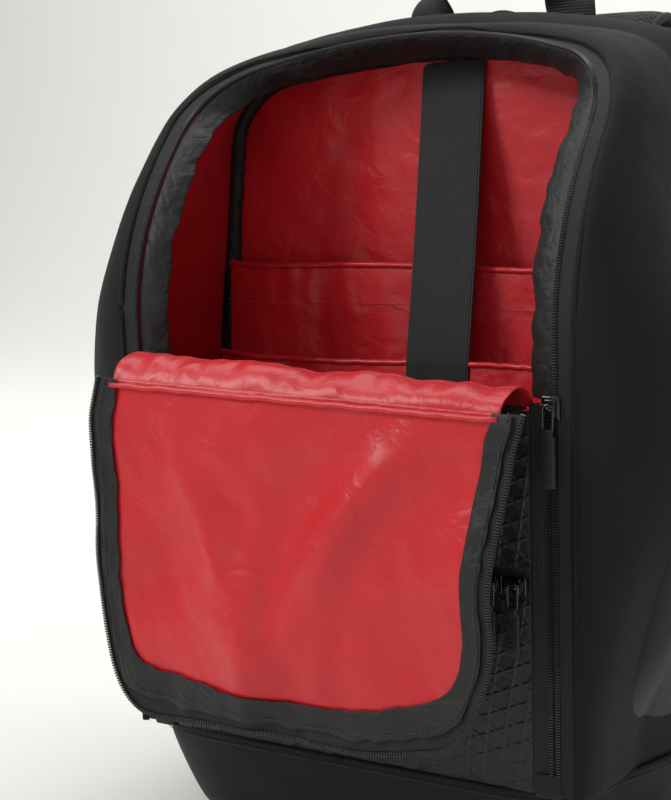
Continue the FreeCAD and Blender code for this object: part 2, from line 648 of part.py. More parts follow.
def pull(label, placement, tab_length):
    """Metal link round the slider's bar and the rubber tab that hangs from it."""
    eye_wall = s.eye_radius + 1
    drop = s.link_drop
    eye = Part.makeCylinder(eye_wall, 3.2, Vector(-1.6, -bar_rise, 0), Vector(1, 0, 0))
    arm = Part.makeBox(3.2, 1.4, drop - 0.5, Vector(-1.6, -bar_rise - 1.6, -drop + 0.5))
    foot = Part.makeBox(s.tab_width - 1, 1.4, 2.5, Vector(-(s.tab_width - 1) / 2, -bar_rise - 1.6, -drop))
    hole = Part.makeCylinder(s.eye_radius, 8, Vector(-4, -bar_rise, 0), Vector(1, 0, 0))
    link = eye.multiFuse([arm, foot]).cut(hole)
    tab = Part.makeBox(s.tab_width, s.tab_wall, tab_length,
                       Vector(-s.tab_width / 2, -bar_rise - 2, -drop - tab_length - 0.05))
    corners = [e for e in tab.Edges if abs(e.tangentAt(e.FirstParameter).y) > 0.99]
    tab = tab.makeFillet(1.4, corners)
    return feature(label, Part.makeCompound([link, tab]), placement)


def build_sliders():
    """Sliders of the three zippers, each with its pull."""
    for side, sign in (("right", 1), ("left", -1)):
        place = on_front(s.main_slider_z)
        place.Base = place.Base + Vector(sign * s.zip_half, 0, 0)
        slider(f"main_slider_{side}", place)
        pull(f"main_pull_{side}", place, s.tab_length)
    right = min(s.pocket_zip_right, s.zip_half - s.tape_edge - 2.3)
    turn = FreeCAD.Placement(Vector(), FreeCAD.Rotation(Vector(0, 1, 0), -90))
    for number, back in ((1, s.slider_length * 1.5 + 1.8), (2, s.slider_length / 2 + 0.6)):
        place = on_front(s.pocket_zip_z)
        place.Base = place.Base + Vector(right - back, 0, 0)
        horizontal = place.multiply(turn) if number == 1 else place.multiply(turn.inverse())
        pocket_slider(f"pocket_slider_{number}", place, horizontal)
        pull(f"pocket_pull_{number}", place, s.tab_length * 0.84)
    side_wall = FreeCAD.Rotation(Vector(0, 0, 1), 90)
    place = FreeCAD.Placement(Vector(s.rear_half + s.coil_height / 2, racket_zip_y, s.racket_slider_z), side_wall)
    slider("racket_slider", place)
    pull("racket_pull", place, s.tab_length)


def pocket_slider(label, upright, horizontal):
    """Slider of the level pocket zipper: the body lies along X and its bar stays level."""
    inner = s.coil_height / 2 + s.slider_play
    width, length, wall = s.slider_width, s.slider_length, s.slider_plate
    plates = []
    for y in (-inner - wall, inner):
        flat = Part.makeBox(length, wall, width, Vector(-length / 2, y, -width / 2))
        corners = [e for e in flat.Edges if abs(e.tangentAt(e.FirstParameter).y) > 0.99]
        plates.append(flat.makeFillet(2.2, corners))
    lead = 1 if horizontal.Rotation.multVec(Vector(0, 0, 1)).x > 0 else -1
    post_x = lead * (length / 2 - 2.1) - 1.3
    post = Part.makeBox(2.6, 2 * inner + wall, s.post_width, Vector(post_x, -inner - wall / 2, -s.post_width / 2))
    cheeks = [Part.makeBox(1.2, bar_rise + s.bar_radius - inner - wall / 2, 3.4,
                           Vector(x, -bar_rise - s.bar_radius, -1.7)) for x in (-3.4, 2.2)]
    bar = Part.makeCylinder(s.bar_radius, 6, Vector(-3, -bar_rise, 0), Vector(1, 0, 0))
    return feature(label, plates[0].multiFuse([plates[1], post, bar] + cheeks), upright)


# ---------------------------------------------------------------- racket compartment's zipper


def build_racket_zipper():
    """Two tapes and two coils that join the main gusset to the racket compartment's gusset."""
    middle = racket_zip_y
    foot = s.base_height + s.gap
    coil_out = s.coil_slot + s.coil_width
    lift = 0.5 * s.coil_height
    tape_low, tape_high = -lift - s.tape_wall / 2, -lift + s.tape_wall / 2
    front_tape = rear_arch.band(tape_low, tape_high, foot, s.gusset_end_y + s.gap, middle - coil_out - 0.1)
    rear_tape = rear_arch.band(tape_low, tape_high, foot, middle + coil_out + 0.1,
                                s.back_y - s.rear_band - s.gap)
    feature("racket_zip_tapes", Part.makeCompound([front_tape, rear_tape]))
    coils = [rear_arch.band(-s.coil_height, 0, foot, y, y + s.coil_width)
             for y in (middle - coil_out, middle + s.coil_slot)]
    feature("racket_zip_coils", Part.makeCompound(coils))


# ---------------------------------------------------------------- bottle pockets


pocket_seam = 4 * s.gap


def pocket_wall_section(z, bulge, outer, inner):
    """Section of a bottle pocket's wall at height z, standing off the gusset by bulge."""
    skin = gusset_profile(Vector(s.zip_half, 0, z), Vector(1, 0, 0), 0, s.gusset_end_y)
    front_point, rear_point = skin[2], skin[-1]
    middle = (skin[3] + skin[-1]) * 0.5
    line = [front_point, skin[3] + (front_point - skin[3]) * 0.25, middle, rear_point]
    lifts = (0.0, 0.8, 1.0, 0.35)
    ring = [Vector(p.x + pocket_seam + bulge * k + outer, p.y, z) for p, k in zip(line, lifts)]
    ring += [Vector(p.x + pocket_seam + bulge * k + inner, p.y, z) for p, k in zip(line[::-1], lifts[::-1])]
    return Part.makePolygon(ring + ring[:1])


def build_bottle_pockets():
    """Open-topped side pockets with an elastic binding round the mouth."""
    wall = s.pocket_wall
    foot = s.base_height + 6
    levels = [(foot, 0.05), (foot + 30, 0.8), (foot + 70, 1.0), (s.bottle_top, 1.0)]
    right = Part.makeLoft([pocket_wall_section(z, s.pocket_bulge * k, wall, 0) for z, k in levels], True, True)
    mirrored("bottle_pocket_left", feature("bottle_pocket_right", right))
    levels = (s.bottle_top + s.gap, s.bottle_top + s.elastic_height)
    band = Part.makeLoft([pocket_wall_section(z, s.pocket_bulge, wall + 0.6, 0) for z in levels], True, True)
    feature("pocket_elastics", Part.makeCompound([band, band.mirror(Vector(), Vector(1, 0, 0))]))


# ---------------------------------------------------------------- handle and shoulder straps

back_face = s.back_y + s.gap + s.shell_wall
handle_y = back_face + s.gap + s.handle_wall / 2 + 1


def build_handle():
    """Haul handle that folds at its feet, and the small webbing loop between them."""
    half, leg, rise = s.handle_half, s.handle_leg, s.handle_rise
    outer = [Vector(-half, 0, 0), Vector(-half * 0.86, 0, rise * 0.62), Vector(-half * 0.55, 0, rise),
             Vector(half * 0.55, 0, rise), Vector(half * 0.86, 0, rise * 0.62), Vector(half, 0, 0)]
    inner = [Vector(half - leg, 0, 0), Vector(half * 0.45, 0, rise * 0.55), Vector(half * 0.36, 0, rise * 0.74),
             Vector(-half * 0.36, 0, rise * 0.74), Vector(-half * 0.45, 0, rise * 0.55), Vector(leg - half, 0, 0)]
    ring = outer + inner
    face = Part.Face(Part.makePolygon(ring + ring[:1]))
    face.translate(Vector(0, -s.handle_wall / 2, 2.5))
    feature("haul_handle", face.extrude(Vector(0, s.handle_wall, 0)),
            FreeCAD.Placement(Vector(0, handle_y, s.handle_z), FreeCAD.Rotation()))
    radius, wall = s.loop_width / 2, s.tail_wall
    centre = Vector(0, back_face + s.gap + 1, s.handle_z - 16)
    tube = Part.makeCylinder(radius, s.loop_depth, centre, Vector(0, 1, 0))
    hole = Part.makeCylinder(radius - wall, s.loop_depth + 2, centre - Vector(0, 1, 0), Vector(0, 1, 0))
    below = Part.makeBox(4 * radius, 4 * s.loop_depth, 2 * radius,
                         centre - Vector(2 * radius, 2 * s.loop_depth, 2 * radius + 1))
    feature("hang_loop", tube.cut(hole).cut(below))


def strap_section(centre, across, normal, width, wall):
    """Rectangle of a strap at one point of its route."""
    across, normal = across * (width / 2), normal * (wall / 2)
    ring = [centre - across - normal, centre + across - normal, centre + across + normal, centre - across + normal]
    return Part.makePolygon(ring + ring[:1])


def strap_loft(route, widths, wall):
    """Ruled strap through a route of points, with a width at each."""
    sections = []
    for i, point in enumerate(route):
        before, after = route[max(i - 1, 0)], route[min(i + 1, len(route) - 1)]
        along = (after - before).normalize()
        across = Vector(1, 0, 0) - along * along.x
        across.normalize()
        normal = along.cross(across).normalize()
        sections.append(strap_section(point, across, normal, widths[i], wall))
    return Part.makeLoft(sections, True, True)


def build_shoulder_straps():
    """Padded straps with ladder locks and adjusting webbing."""
    y = back_face
    top = s.handle_z
    pad_route = [Vector(60, y + 15, top - 24), Vector(61, y + 26, top - 3), Vector(63, y + 44, top + 1),
                 Vector(67, y + 60, top - 24), Vector(75, y + 66, top - 76), Vector(86, y + 62, top - 132),
                 Vector(99, y + 52, top - 184)]
    full = s.strap_width
    pad = feature("shoulder_strap_right",
                  strap_loft(pad_route, [full * 0.8, full, full, full, full, full * 0.86, full * 0.66], s.strap_wall))
    mirrored("shoulder_strap_left", pad)
    along = (pad_route[-1] - pad_route[-2]).normalize()
    lock_at = pad_route[-1] + along * (s.lock_length / 2 + 1)
    across = (Vector(1, 0, 0) - along * along.x).normalize()
    normal = along.cross(across).normalize()
    rotation = FreeCAD.Rotation(across, normal, along, "ZXY")
    frame = Part.makeBox(s.lock_width, s.lock_wall, s.lock_length,
                         Vector(-s.lock_width / 2, -s.lock_wall / 2, -s.lock_length / 2))
    corners = [e for e in frame.Edges if abs(e.tangentAt(e.FirstParameter).y) > 0.99]
    frame = frame.makeFillet(3, corners)
    slots = [Part.makeBox(s.lock_width - 7, 3 * s.lock_wall, 4.4,
                          Vector(-(s.lock_width - 7) / 2, -1.5 * s.lock_wall, z)) for z in (-11, -2.2, 6.6)]
    lock = feature("ladder_lock_right", frame.cut(Part.makeCompound(slots)), FreeCAD.Placement(lock_at, rotation))
    mirrored("ladder_lock_left", lock)
    lock_end = lock_at + along * (s.lock_length / 2 + 2.5)
    tail_route = [lock_end, Vector(114, y + 28, 160), Vector(121, y + 12, 110), Vector(124, y + 7, 84)]
    tail = feature("strap_webbing_right", strap_loft(tail_route, [s.tail_width] * 4, s.tail_wall))
    mirrored("strap_webbing_left", tail)
    patches = [Part.makeBox(s.strap_width * 0.8, 5, 26, Vector(60 - s.strap_width * 0.4, y + s.gap, top - 58)),
               Part.makeBox(30, 5, 24, Vector(124 - 15, y + s.gap, 56)),
               Part.makeBox(s.handle_leg, s.handle_wall, 28,
                            Vector(s.handle_half - s.handle_leg, handle_y - s.handle_wall / 2, s.handle_z - 28))]
    right = Part.makeCompound(patches)
    feature("sewn_patches", Part.makeCompound(patches + right.mirror(Vector(), Vector(1, 0, 0)).Solids))


# ---------------------------------------------------------------- build, check and write

build_base()
build_back()
build_gusset()
build_main_zipper()
build_flap()
build_fold()
build_lower_front()
build_inner_pockets()
build_sliders()
build_racket_zipper()
build_bottle_pockets()
build_handle()
build_shoulder_straps()
doc.recompute()

for item in doc.Objects:
    if "Invalid" in item.State or "Error" in item.State:
        raise RuntimeError(f"{item.Label} failed to recompute")
for item in nodes:
    if item.Shape.isNull() or not item.Shape.isValid() or not item.Shape.Solids:
        raise RuntimeError(f"{item.Label} has no valid solid")

os.makedirs("parts", exist_ok=True)
for item in nodes:
    item.Shape.exportStep(os.path.join("parts", item.Label + ".step"))
print(f"{len(nodes)} sub-parts written")
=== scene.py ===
"""Racket backpack with its front flap unzipped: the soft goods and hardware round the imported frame."""

import logging
import math
from collections.abc import Sequence
from dataclasses import dataclass
from enum import Enum

import bmesh
import bpy
from mathutils import Matrix, Vector, noise
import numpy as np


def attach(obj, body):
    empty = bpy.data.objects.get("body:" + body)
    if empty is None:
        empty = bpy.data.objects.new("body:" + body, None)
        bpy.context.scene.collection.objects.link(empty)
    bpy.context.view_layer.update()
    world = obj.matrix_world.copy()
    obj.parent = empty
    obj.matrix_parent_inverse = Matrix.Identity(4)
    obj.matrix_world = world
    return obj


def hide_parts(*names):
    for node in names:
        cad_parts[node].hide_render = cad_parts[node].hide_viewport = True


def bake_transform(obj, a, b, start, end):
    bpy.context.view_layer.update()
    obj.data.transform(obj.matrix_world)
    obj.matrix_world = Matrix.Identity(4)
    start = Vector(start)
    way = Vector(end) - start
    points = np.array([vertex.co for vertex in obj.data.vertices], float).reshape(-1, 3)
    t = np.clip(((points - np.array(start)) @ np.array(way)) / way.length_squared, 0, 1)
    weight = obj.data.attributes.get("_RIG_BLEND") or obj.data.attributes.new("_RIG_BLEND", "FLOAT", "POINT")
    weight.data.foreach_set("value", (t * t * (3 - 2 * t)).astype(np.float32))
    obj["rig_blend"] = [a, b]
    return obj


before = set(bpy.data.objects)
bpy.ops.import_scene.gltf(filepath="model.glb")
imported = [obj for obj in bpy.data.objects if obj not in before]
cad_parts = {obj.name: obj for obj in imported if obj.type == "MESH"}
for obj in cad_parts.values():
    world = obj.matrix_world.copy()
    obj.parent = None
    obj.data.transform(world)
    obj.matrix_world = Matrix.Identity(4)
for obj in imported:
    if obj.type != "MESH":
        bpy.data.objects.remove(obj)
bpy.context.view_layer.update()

log = logging.getLogger("racket_backpack")
logging.basicConfig(level=logging.INFO, format="%(name)s: %(message)s")

MM = 0.001
X, Y, Z = Vector((1, 0, 0)), Vector((0, 1, 0)), Vector((0, 0, 1))
Rows = list[list[Vector]]


# ---------------------------------------------------------------- small tools


def hex_colour(code: str) -> tuple[float, float, float, float]:
    """Turns an sRGB hex colour to linear light.

    Args:
        code: Six hex digits.

    Returns:
        Linear red, green, blue and full alpha.
    """
    parts = [int(code[i : i + 2], 16) / 255 for i in (0, 2, 4)]
    linear = [c / 12.92 if c <= 0.04045 else ((c + 0.055) / 1.055) ** 2.4 for c in parts]
    return (*linear, 1.0)


def add_node(tree: bpy.types.NodeTree, kind: str, values: dict | None = None, links: dict | None = None,
             **settings):
    """Adds a node with its settings, socket values and links.

    Args:
        tree: The node tree to add to.
        kind: The node's type name.
        values: Default values by input name or number.
        links: Source sockets by input name or number.
        **settings: Properties of the node.

    Returns:
        The new node.
    """
    node = tree.nodes.new(kind)
    for key, value in settings.items():
        setattr(node, key, value)
    for key, value in (values or {}).items():
        node.inputs[key].default_value = value
    for key, source in (links or {}).items():
        tree.links.new(source, node.inputs[key])
    return node


def mix(low: float, high: float, share: float) -> float:
    """Straight blend from low to high."""
    return low + (high - low) * share


def step(low: float, high: float, value: float) -> float:
    """Smooth step of value between low and high, from 0 to 1."""
    share = min(max((value - low) / (high - low), 0.0), 1.0)
    return share * share * (3 - 2 * share)


def ripple(x: float, y: float, size: float, seed: float = 0.0) -> float:
    """Smooth noise from -1 to 1 with features of the given size in mm."""
    return noise.noise(Vector((x / size + seed * 7.13, y / size - seed * 3.7, seed)))


def spline(points: Sequence[Vector], count: int) -> list[Vector]:
    """Samples a smooth curve through points.

    Args:
        points: Points to pass through.
        count: Number of samples.

    Returns:
        Samples evenly spaced in the curve's parameter.
    """
    ends = [points[0] * 2 - points[1], *points, points[-1] * 2 - points[-2]]
    made = []
    for i in range(count):
        t = i / (count - 1) * (len(points) - 1)
        k = min(int(t), len(points) - 2)
        t -= k
        a, b, c, d = ends[k : k + 4]
        made.append(
            0.5 * (2 * b + (c - a) * t + (2 * a - 5 * b + 4 * c - d) * t**2 + (3 * b - a - 3 * c + d) * t**3)
        )
    return made


# ---------------------------------------------------------------- finishes


class Weave(Enum):
    """How a finish's surface is made."""

    PLAIN = "plain weave"
    RIB = "ribbed webbing"
    MESH = "spacer mesh"
    TRIANGLE = "embossed triangles"
    SMOOTH = "no pattern"


@dataclass(frozen=True)
class Finish:
    """One real finish and its procedural material. Lengths are millimetres."""

    name: str
    colour: str
    # Dark end of the colour: reached in the random mottle's patches, and painted shade in the pattern's hollows
    dark_mottle_and_shade: str
    weave: Weave
    period: float
    relief: float
    crease: float
    crease_size: float
    roughness: float
    sheen: float = 0.0
    coat: float = 0.0
    specular: float = 0.5
    on_surface: bool = True
    turned: bool = False

    def pattern(self, tree: bpy.types.NodeTree, coords: bpy.types.NodeSocket) -> bpy.types.NodeSocket:
        """Height of the weave.

        Args:
            tree: The material's node tree.
            coords: Coordinates in millimetres.

        Returns:
            A height from 0 to 1.
        """
        scale = math.pi / 10 / self.period
        if self.weave is Weave.MESH:
            cells = add_node(tree, "ShaderNodeTexVoronoi", {"Scale": 1 / self.period, "Randomness": 0.25},
                             {"Vector": coords}, feature="F1")
            return add_node(tree, "ShaderNodeMapRange", {"From Min": 0.12, "From Max": 0.42},
                            {"Value": cells.outputs["Distance"]}, interpolation_type="SMOOTHSTEP").outputs[0]
        if self.weave is Weave.TRIANGLE:
            height = None
            for turn in (0.0, 60.0, 120.0):
                aim = add_node(tree, "ShaderNodeMapping", {"Rotation": (0, 0, math.radians(turn + 8))},
                               {"Vector": coords})
                band = add_node(tree, "ShaderNodeTexWave", {"Scale": scale, "Distortion": 0.6, "Detail": 1.0,
                                                            "Detail Scale": 0.4}, {"Vector": aim.outputs[0]})
                ridge = add_node(tree, "ShaderNodeMath", {1: 9.0}, {0: band.outputs["Fac"]},
                                 operation="POWER")
                if height is None:
                    height = ridge.outputs[0]
                else:
                    height = add_node(tree, "ShaderNodeMath", None, {0: height, 1: ridge.outputs[0]},
                                      operation="MAXIMUM").outputs[0]
            return height
        along, across = ("Y", "X") if self.turned else ("X", "Y")
        first = add_node(tree, "ShaderNodeTexWave", {"Scale": scale}, {"Vector": coords},
                         bands_direction=along)
        fine = 1.0 if self.weave is Weave.PLAIN else 2.6
        second = add_node(tree, "ShaderNodeTexWave", {"Scale": scale * fine}, {"Vector": coords},
                          bands_direction=across)
        share = 0.5 if self.weave is Weave.PLAIN else 0.22
        return add_node(tree, "ShaderNodeMix", {"Factor": share},
                        {"A": first.outputs["Fac"], "B": second.outputs["Fac"]},
                        data_type="FLOAT").outputs["Result"]

    def material(self) -> bpy.types.Material:
        """The material, made once."""
        made = bpy.data.materials.get(self.name)
        if made:
            return made
        made = bpy.data.materials.new(self.name)
        made.use_nodes = True
        tree = made.node_tree
        tree.nodes.clear()
        source = add_node(tree, "ShaderNodeTexCoord")
        if self.on_surface:
            coords = source.outputs["UV"]
        else:
            coords = add_node(tree, "ShaderNodeMapping", {"Scale": (1 / MM, 1 / MM, 1 / MM)},
                             {"Vector": source.outputs["Object"]}).outputs[0]
        mottle = add_node(tree, "ShaderNodeTexNoise", {"Scale": 1 / 38, "Detail": 4.0}, {"Vector": coords})
        mottle_and_shade = mottle.outputs["Fac"]
        bump = None
        if self.weave is not Weave.SMOOTH:
            height = self.pattern(tree, coords)
            bump = add_node(tree, "ShaderNodeBump", {"Strength": 1.0, "Distance": self.relief * MM},
                            {"Height": height})
            # Painted shade: the pattern's height mixes in, so its hollows take the dark colour and its raised parts
            # the full colour, on top of the random mottle
            mottle_and_shade = add_node(tree, "ShaderNodeMix", {"Factor": 0.45}, {"A": mottle_and_shade, "B": height},
                            data_type="FLOAT").outputs["Result"]
        if self.crease:
            fold = add_node(tree, "ShaderNodeTexNoise", {"Scale": 1 / self.crease_size, "Detail": 3.0,
                                                         "Roughness": 0.5, "Distortion": 0.5},
                            {"Vector": coords})
            links = {"Height": fold.outputs["Fac"]}
            if bump:
                links["Normal"] = bump.outputs[0]
            bump = add_node(tree, "ShaderNodeBump", {"Strength": 1.0, "Distance": self.crease * MM}, links)
        # Colour runs from the dark end to the full colour by the random mottle and the painted shade in the hollows
        blend = add_node(tree, "ShaderNodeMix", {"A": hex_colour(self.dark_mottle_and_shade), "B": hex_colour(self.colour)},
                         {"Factor": mottle_and_shade}, data_type="RGBA", clamp_factor=True)
        rough = add_node(tree, "ShaderNodeMapRange",
                         {"To Min": self.roughness + 0.06, "To Max": self.roughness - 0.06},
                         {"Value": mottle_and_shade})
        links = {"Base Color": blend.outputs["Result"], "Roughness": rough.outputs[0]}
        if bump:
            links["Normal"] = bump.outputs[0]
        shader = add_node(tree, "ShaderNodeBsdfPrincipled", {
            "Sheen Weight": self.sheen, "Sheen Roughness": 0.45,
            "Coat Weight": self.coat, "Coat Roughness": 0.2, "Specular IOR Level": self.specular,
        }, links)
        add_node(tree, "ShaderNodeOutputMaterial", None, {"Surface": shader.outputs[0]})
        return made


# Coated nylon, plain woven: a matt charcoal with a faint thread grid. The 0.5 mm threads are drawn at
# 1.3 mm so that they show.
SHELL = Finish("coated_nylon_charcoal", "1d1d1e", "121213", Weave.PLAIN, 1.3, 0.10, 0.9, 26.0, 0.7, 0.03,
               specular=0.2)
# The same nylon calendered smooth for the base: tighter, a little glossier, with long soft dents.
BASE = Finish("calendered_nylon_base", "1f1f20", "171718", Weave.PLAIN, 0.9, 0.03, 0.8, 45.0, 0.6, 0.03,
              specular=0.22)
# Polyester taffeta lining: thin, crisp and lustrous, so it creases sharply and shines along the folds.
LINING = Finish("polyester_taffeta_red", "d4242c", "b8121c", Weave.PLAIN, 0.8, 0.03, 1.8, 19.0, 0.38, 0.03,
                specular=0.5)
# Taffeta in black for facings and bindings: satiny with tight puckers.
FACING = Finish("polyester_taffeta_black", "111112", "070708", Weave.PLAIN, 0.9, 0.05, 1.5, 7.0, 0.55, 0.03)
# Herringbone zipper tape: woven polyester, dull, with ribs along it.
TAPE = Finish("woven_zipper_tape", "171718", "0c0c0d", Weave.RIB, 1.4, 0.18, 0.0, 9.0, 0.72, 0.05)
# Nylon monofilament coil: hard, smooth and slightly bright.
COIL = Finish("nylon_coil", "2c2c2d", "1c1c1d", Weave.SMOOTH, 1.0, 0.0, 0.0, 9.0, 0.34, specular=0.6)
# Polypropylene webbing: heavy ribs every 1.6 mm with small crossings.
WEBBING = Finish("polypropylene_webbing", "262627", "131314", Weave.RIB, 1.6, 0.32, 0.0, 9.0, 0.66, 0.08)
# The same webbing with its ribs across the strap.
WEBBING_CROSS = Finish("polypropylene_webbing_cross", "222223", "111112", Weave.RIB, 1.7, 0.3, 0.0, 9.0,
                       0.66, 0.08,
                       turned=True)
# Spacer mesh: knitted polyester with open cells of about 3 mm over foam.
MESH = Finish("spacer_mesh_black", "232324", "080809", Weave.MESH, 3.0, 0.7, 0.0, 9.0, 0.85, 0.12)
# Stretch knit of the bottle pockets: fine courses, matt.
KNIT = Finish("stretch_knit_black", "1a1a1b", "0f0f10", Weave.RIB, 1.2, 0.16, 1.0, 20.0, 0.8, 0.2)
# Woven elastic and binding tape: tight cross ribs.
ELASTIC = Finish("woven_elastic_black", "171718", "0a0a0b", Weave.RIB, 1.5, 0.3, 0.0, 9.0, 0.7, 0.15,
                 turned=True)
# Embossed nylon of the front pocket: raised lines that cross in triangles about 9 mm apart.
EMBOSSED = Finish("embossed_nylon_triangles", "202021", "0f0f10", Weave.TRIANGLE, 9.0, 0.7, 0.4, 30.0, 0.5,
                  0.08)
# Polyester sewing thread: slightly lighter than the cloth.
THREAD = Finish("polyester_thread", "272728", "1c1c1d", Weave.SMOOTH, 1.0, 0.0, 0.0, 9.0, 0.6, 0.3)
RED_THREAD = Finish("polyester_thread_red", "d8434a", "b02a32", Weave.SMOOTH, 1.0, 0.0, 0.0, 9.0, 0.6, 0.3)
# Zinc die casting in gloss black enamel.
ENAMEL = Finish("enamelled_zinc_black", "111112", "09090a", Weave.SMOOTH, 1.0, 0.0, 0.05, 4.0, 0.2, coat=0.6,
                on_surface=False)
# Moulded thermoplastic rubber: dull, finely spark textured.
RUBBER = Finish("moulded_rubber_black", "1c1c1d", "131314", Weave.SMOOTH, 1.0, 0.0, 0.12, 0.8, 0.55,
                on_surface=False)
# Moulded acetal buckle: semi gloss.
ACETAL = Finish("moulded_acetal_black", "161617", "0f0f10", Weave.SMOOTH, 1.0, 0.0, 0.08, 2.0, 0.38,
                on_surface=False)
# Extruded polyethylene sheet: grey and waxy.
SHEET = Finish("extruded_polyethylene_grey", "3b3b3c", "2f2f30", Weave.SMOOTH, 1.0, 0.0, 0.1, 6.0, 0.5,
               on_surface=False)
# Foam board behind the lining, faced in taffeta.
PANEL = Finish("taffeta_faced_foam", "8c1a22", "6d1018", Weave.PLAIN, 1.2, 0.05, 0.5, 25.0, 0.6,
               on_surface=False)


# ---------------------------------------------------------------- mesh makers


def add_object(name: str, data: bpy.types.ID) -> bpy.types.Object:
    """Makes an object and puts it in the scene.

    Args:
        name: The object's name.
        data: Its mesh, light or camera.

    Returns:
        The object.
    """
    made = bpy.data.objects.new(name, data)
    bpy.context.scene.collection.objects.link(made)
    return made


def add_mesh(name: str, points: list[Vector], faces: list, finish: Finish,
             uv: list | None = None) -> bpy.types.Object:
    """Makes an object at the origin from points in millimetres.

    Args:
        name: The piece's name.
        points: Vertices in millimetres.
        faces: Vertex numbers of each face.
        finish: The finish it takes.
        uv: Surface coordinates in millimetres of each face corner.

    Returns:
        The object.
    """
    mesh = bpy.data.meshes.new(name)
    mesh.from_pydata([p * MM for p in points], [], faces)
    if uv:
        layer = mesh.uv_layers.new(name="UVMap")
        layer.data.foreach_set("uv", [c for pair in uv for c in pair])
    mesh.polygons.foreach_set("use_smooth", [True] * len(mesh.polygons))
    mesh.materials.append(finish.material())
    mesh.validate()
    return add_object(name, mesh)


def thicken(piece: bpy.types.Object, wall: float, offset: float = -1.0, levels: int = 1) -> bpy.types.Object:
    """Gives a sheet its thickness and rounds it.

    Args:
        piece: The sheet.
        wall: Thickness in millimetres.
        offset: Side that the wall grows to, -1 behind the faces and 1 in front.
        levels: Subdivision levels.

    Returns:
        The same object.
    """
    if wall:
        solid = piece.modifiers.new("wall", "SOLIDIFY")
        solid.thickness, solid.offset, solid.use_even_offset = wall * MM, offset, False
    if levels:
        smooth = piece.modifiers.new("rounding", "SUBSURF")
        smooth.levels = smooth.render_levels = levels
    return piece


def surface(name: str, rows: Rows, finish: Finish, wall: float = 0.0, ring: bool = False, flip: bool = False,
            offset: float = -1.0, levels: int = 1) -> bpy.types.Object:
    """Skins rows of points with faces, and gives them surface coordinates in millimetres.

    Args:
        name: The piece's name.
        rows: Rows of points, all of the same length.
        finish: The finish it takes.
        wall: Thickness, none for a bare skin.
        ring: Whether each row closes on itself.
        flip: Turns the faces over.
        offset: Side that the wall grows to.
        levels: Subdivision levels.

    Returns:
        The object.
    """
    high, wide = len(rows), len(rows[0])
    points = [p for row in rows for p in row]
    run_u, run_v = [], [[0.0] * wide]
    for i, row in enumerate(rows):
        run = [0.0]
        for a, b in zip(row, row[1:] + row[:1]):
            run.append(run[-1] + (b - a).length)
        middle = 0.0 if ring else run[wide - 1] / 2
        run_u.append([r - middle for r in run])
        if i:
            run_v.append([run_v[-1][j] + (row[j] - rows[i - 1][j]).length for j in range(wide)])
    faces, uv = [], []
    for i in range(high - 1):
        for j in range(wide if ring else wide - 1):
            k = (j + 1) % wide
            corners = [(i, j, j), (i, k, j + 1), (i + 1, k, j + 1), (i + 1, j, j)]
            if flip:
                corners.reverse()
            faces.append([r * wide + c for r, c, _ in corners])
            uv += [(run_u[r][e], run_v[r][c]) for r, c, e in corners]
    return thicken(add_mesh(name, points, faces, finish, uv), wall, offset, levels)


def closed_skin(name: str, rings: Rows, finish: Finish, levels: int = 1) -> bpy.types.Object:
    """Closed form through rings, with a cap drawn in to the middle at each end."""
    def capped(ring: list[Vector], shares: Sequence[float]) -> Rows:
        centre = sum(ring, Vector()) / len(ring)
        return [[centre + (p - centre) * k for p in ring] for k in shares]

    rows = capped(rings[0], (0.02, 0.5, 0.9)) + rings + capped(rings[-1], (0.9, 0.5, 0.02))
    piece = surface(name, rows, finish, ring=True, levels=0)
    shape = bmesh.new()
    shape.from_mesh(piece.data)
    bmesh.ops.holes_fill(shape, edges=[e for e in shape.edges if e.is_boundary], sides=0)
    bmesh.ops.recalc_face_normals(shape, faces=shape.faces)
    for face in shape.faces:
        face.smooth = True
    shape.to_mesh(piece.data)
    shape.free()
    return thicken(piece, 0, levels=levels)


def tube(name: str, path: list[Vector], radius: float, finish: Finish, sides: int = 8, squash: float = 1.0,
         flat: Vector = Z) -> bpy.types.Object:
    """Round or oval rod along a path.

    Args:
        name: The piece's name.
        path: Points along the middle.
        radius: Half the thickness.
        finish: The finish it takes.
        sides: Number of sides.
        squash: Share of the radius kept along flat.
        flat: Direction of the rod's flat sides.

    Returns:
        The object.
    """
    rings = []
    for i, p in enumerate(path):
        along = (path[min(i + 1, len(path) - 1)] - path[max(i - 1, 0)]).normalized()
        side = along.cross(flat)
        side = side.normalized() if side.length > 1e-4 else along.orthogonal().normalized()
        up = side.cross(along).normalized()
        rings.append([p + side * radius * math.cos(a) + up * radius * squash * math.sin(a)
                      for a in (math.tau * k / sides for k in range(sides))])
    return closed_skin(name, rings, finish, levels=0)


def ribbon(name: str, path: list[Vector], across: list[Vector], widths: list[float], wall: float,
           finish: Finish,
           columns: int = 7) -> bpy.types.Object:
    """Flat strap along a path.

    Args:
        name: The piece's name.
        path: Points along the middle.
        across: Direction of the width at each point.
        widths: Width at each point.
        wall: Thickness.
        finish: The finish it takes.
        columns: Points across.

    Returns:
        The object.
    """
    rows = []
    for i, p in enumerate(path):
        along = (path[min(i + 1, len(path) - 1)] - path[max(i - 1, 0)]).normalized()
        side = (across[i] - along * across[i].dot(along)).normalized()
        rows.append([p + side * widths[i] / 2 * (2 * k / (columns - 1) - 1) for k in range(columns)])
    return surface(name, rows, finish, wall, offset=0.0)


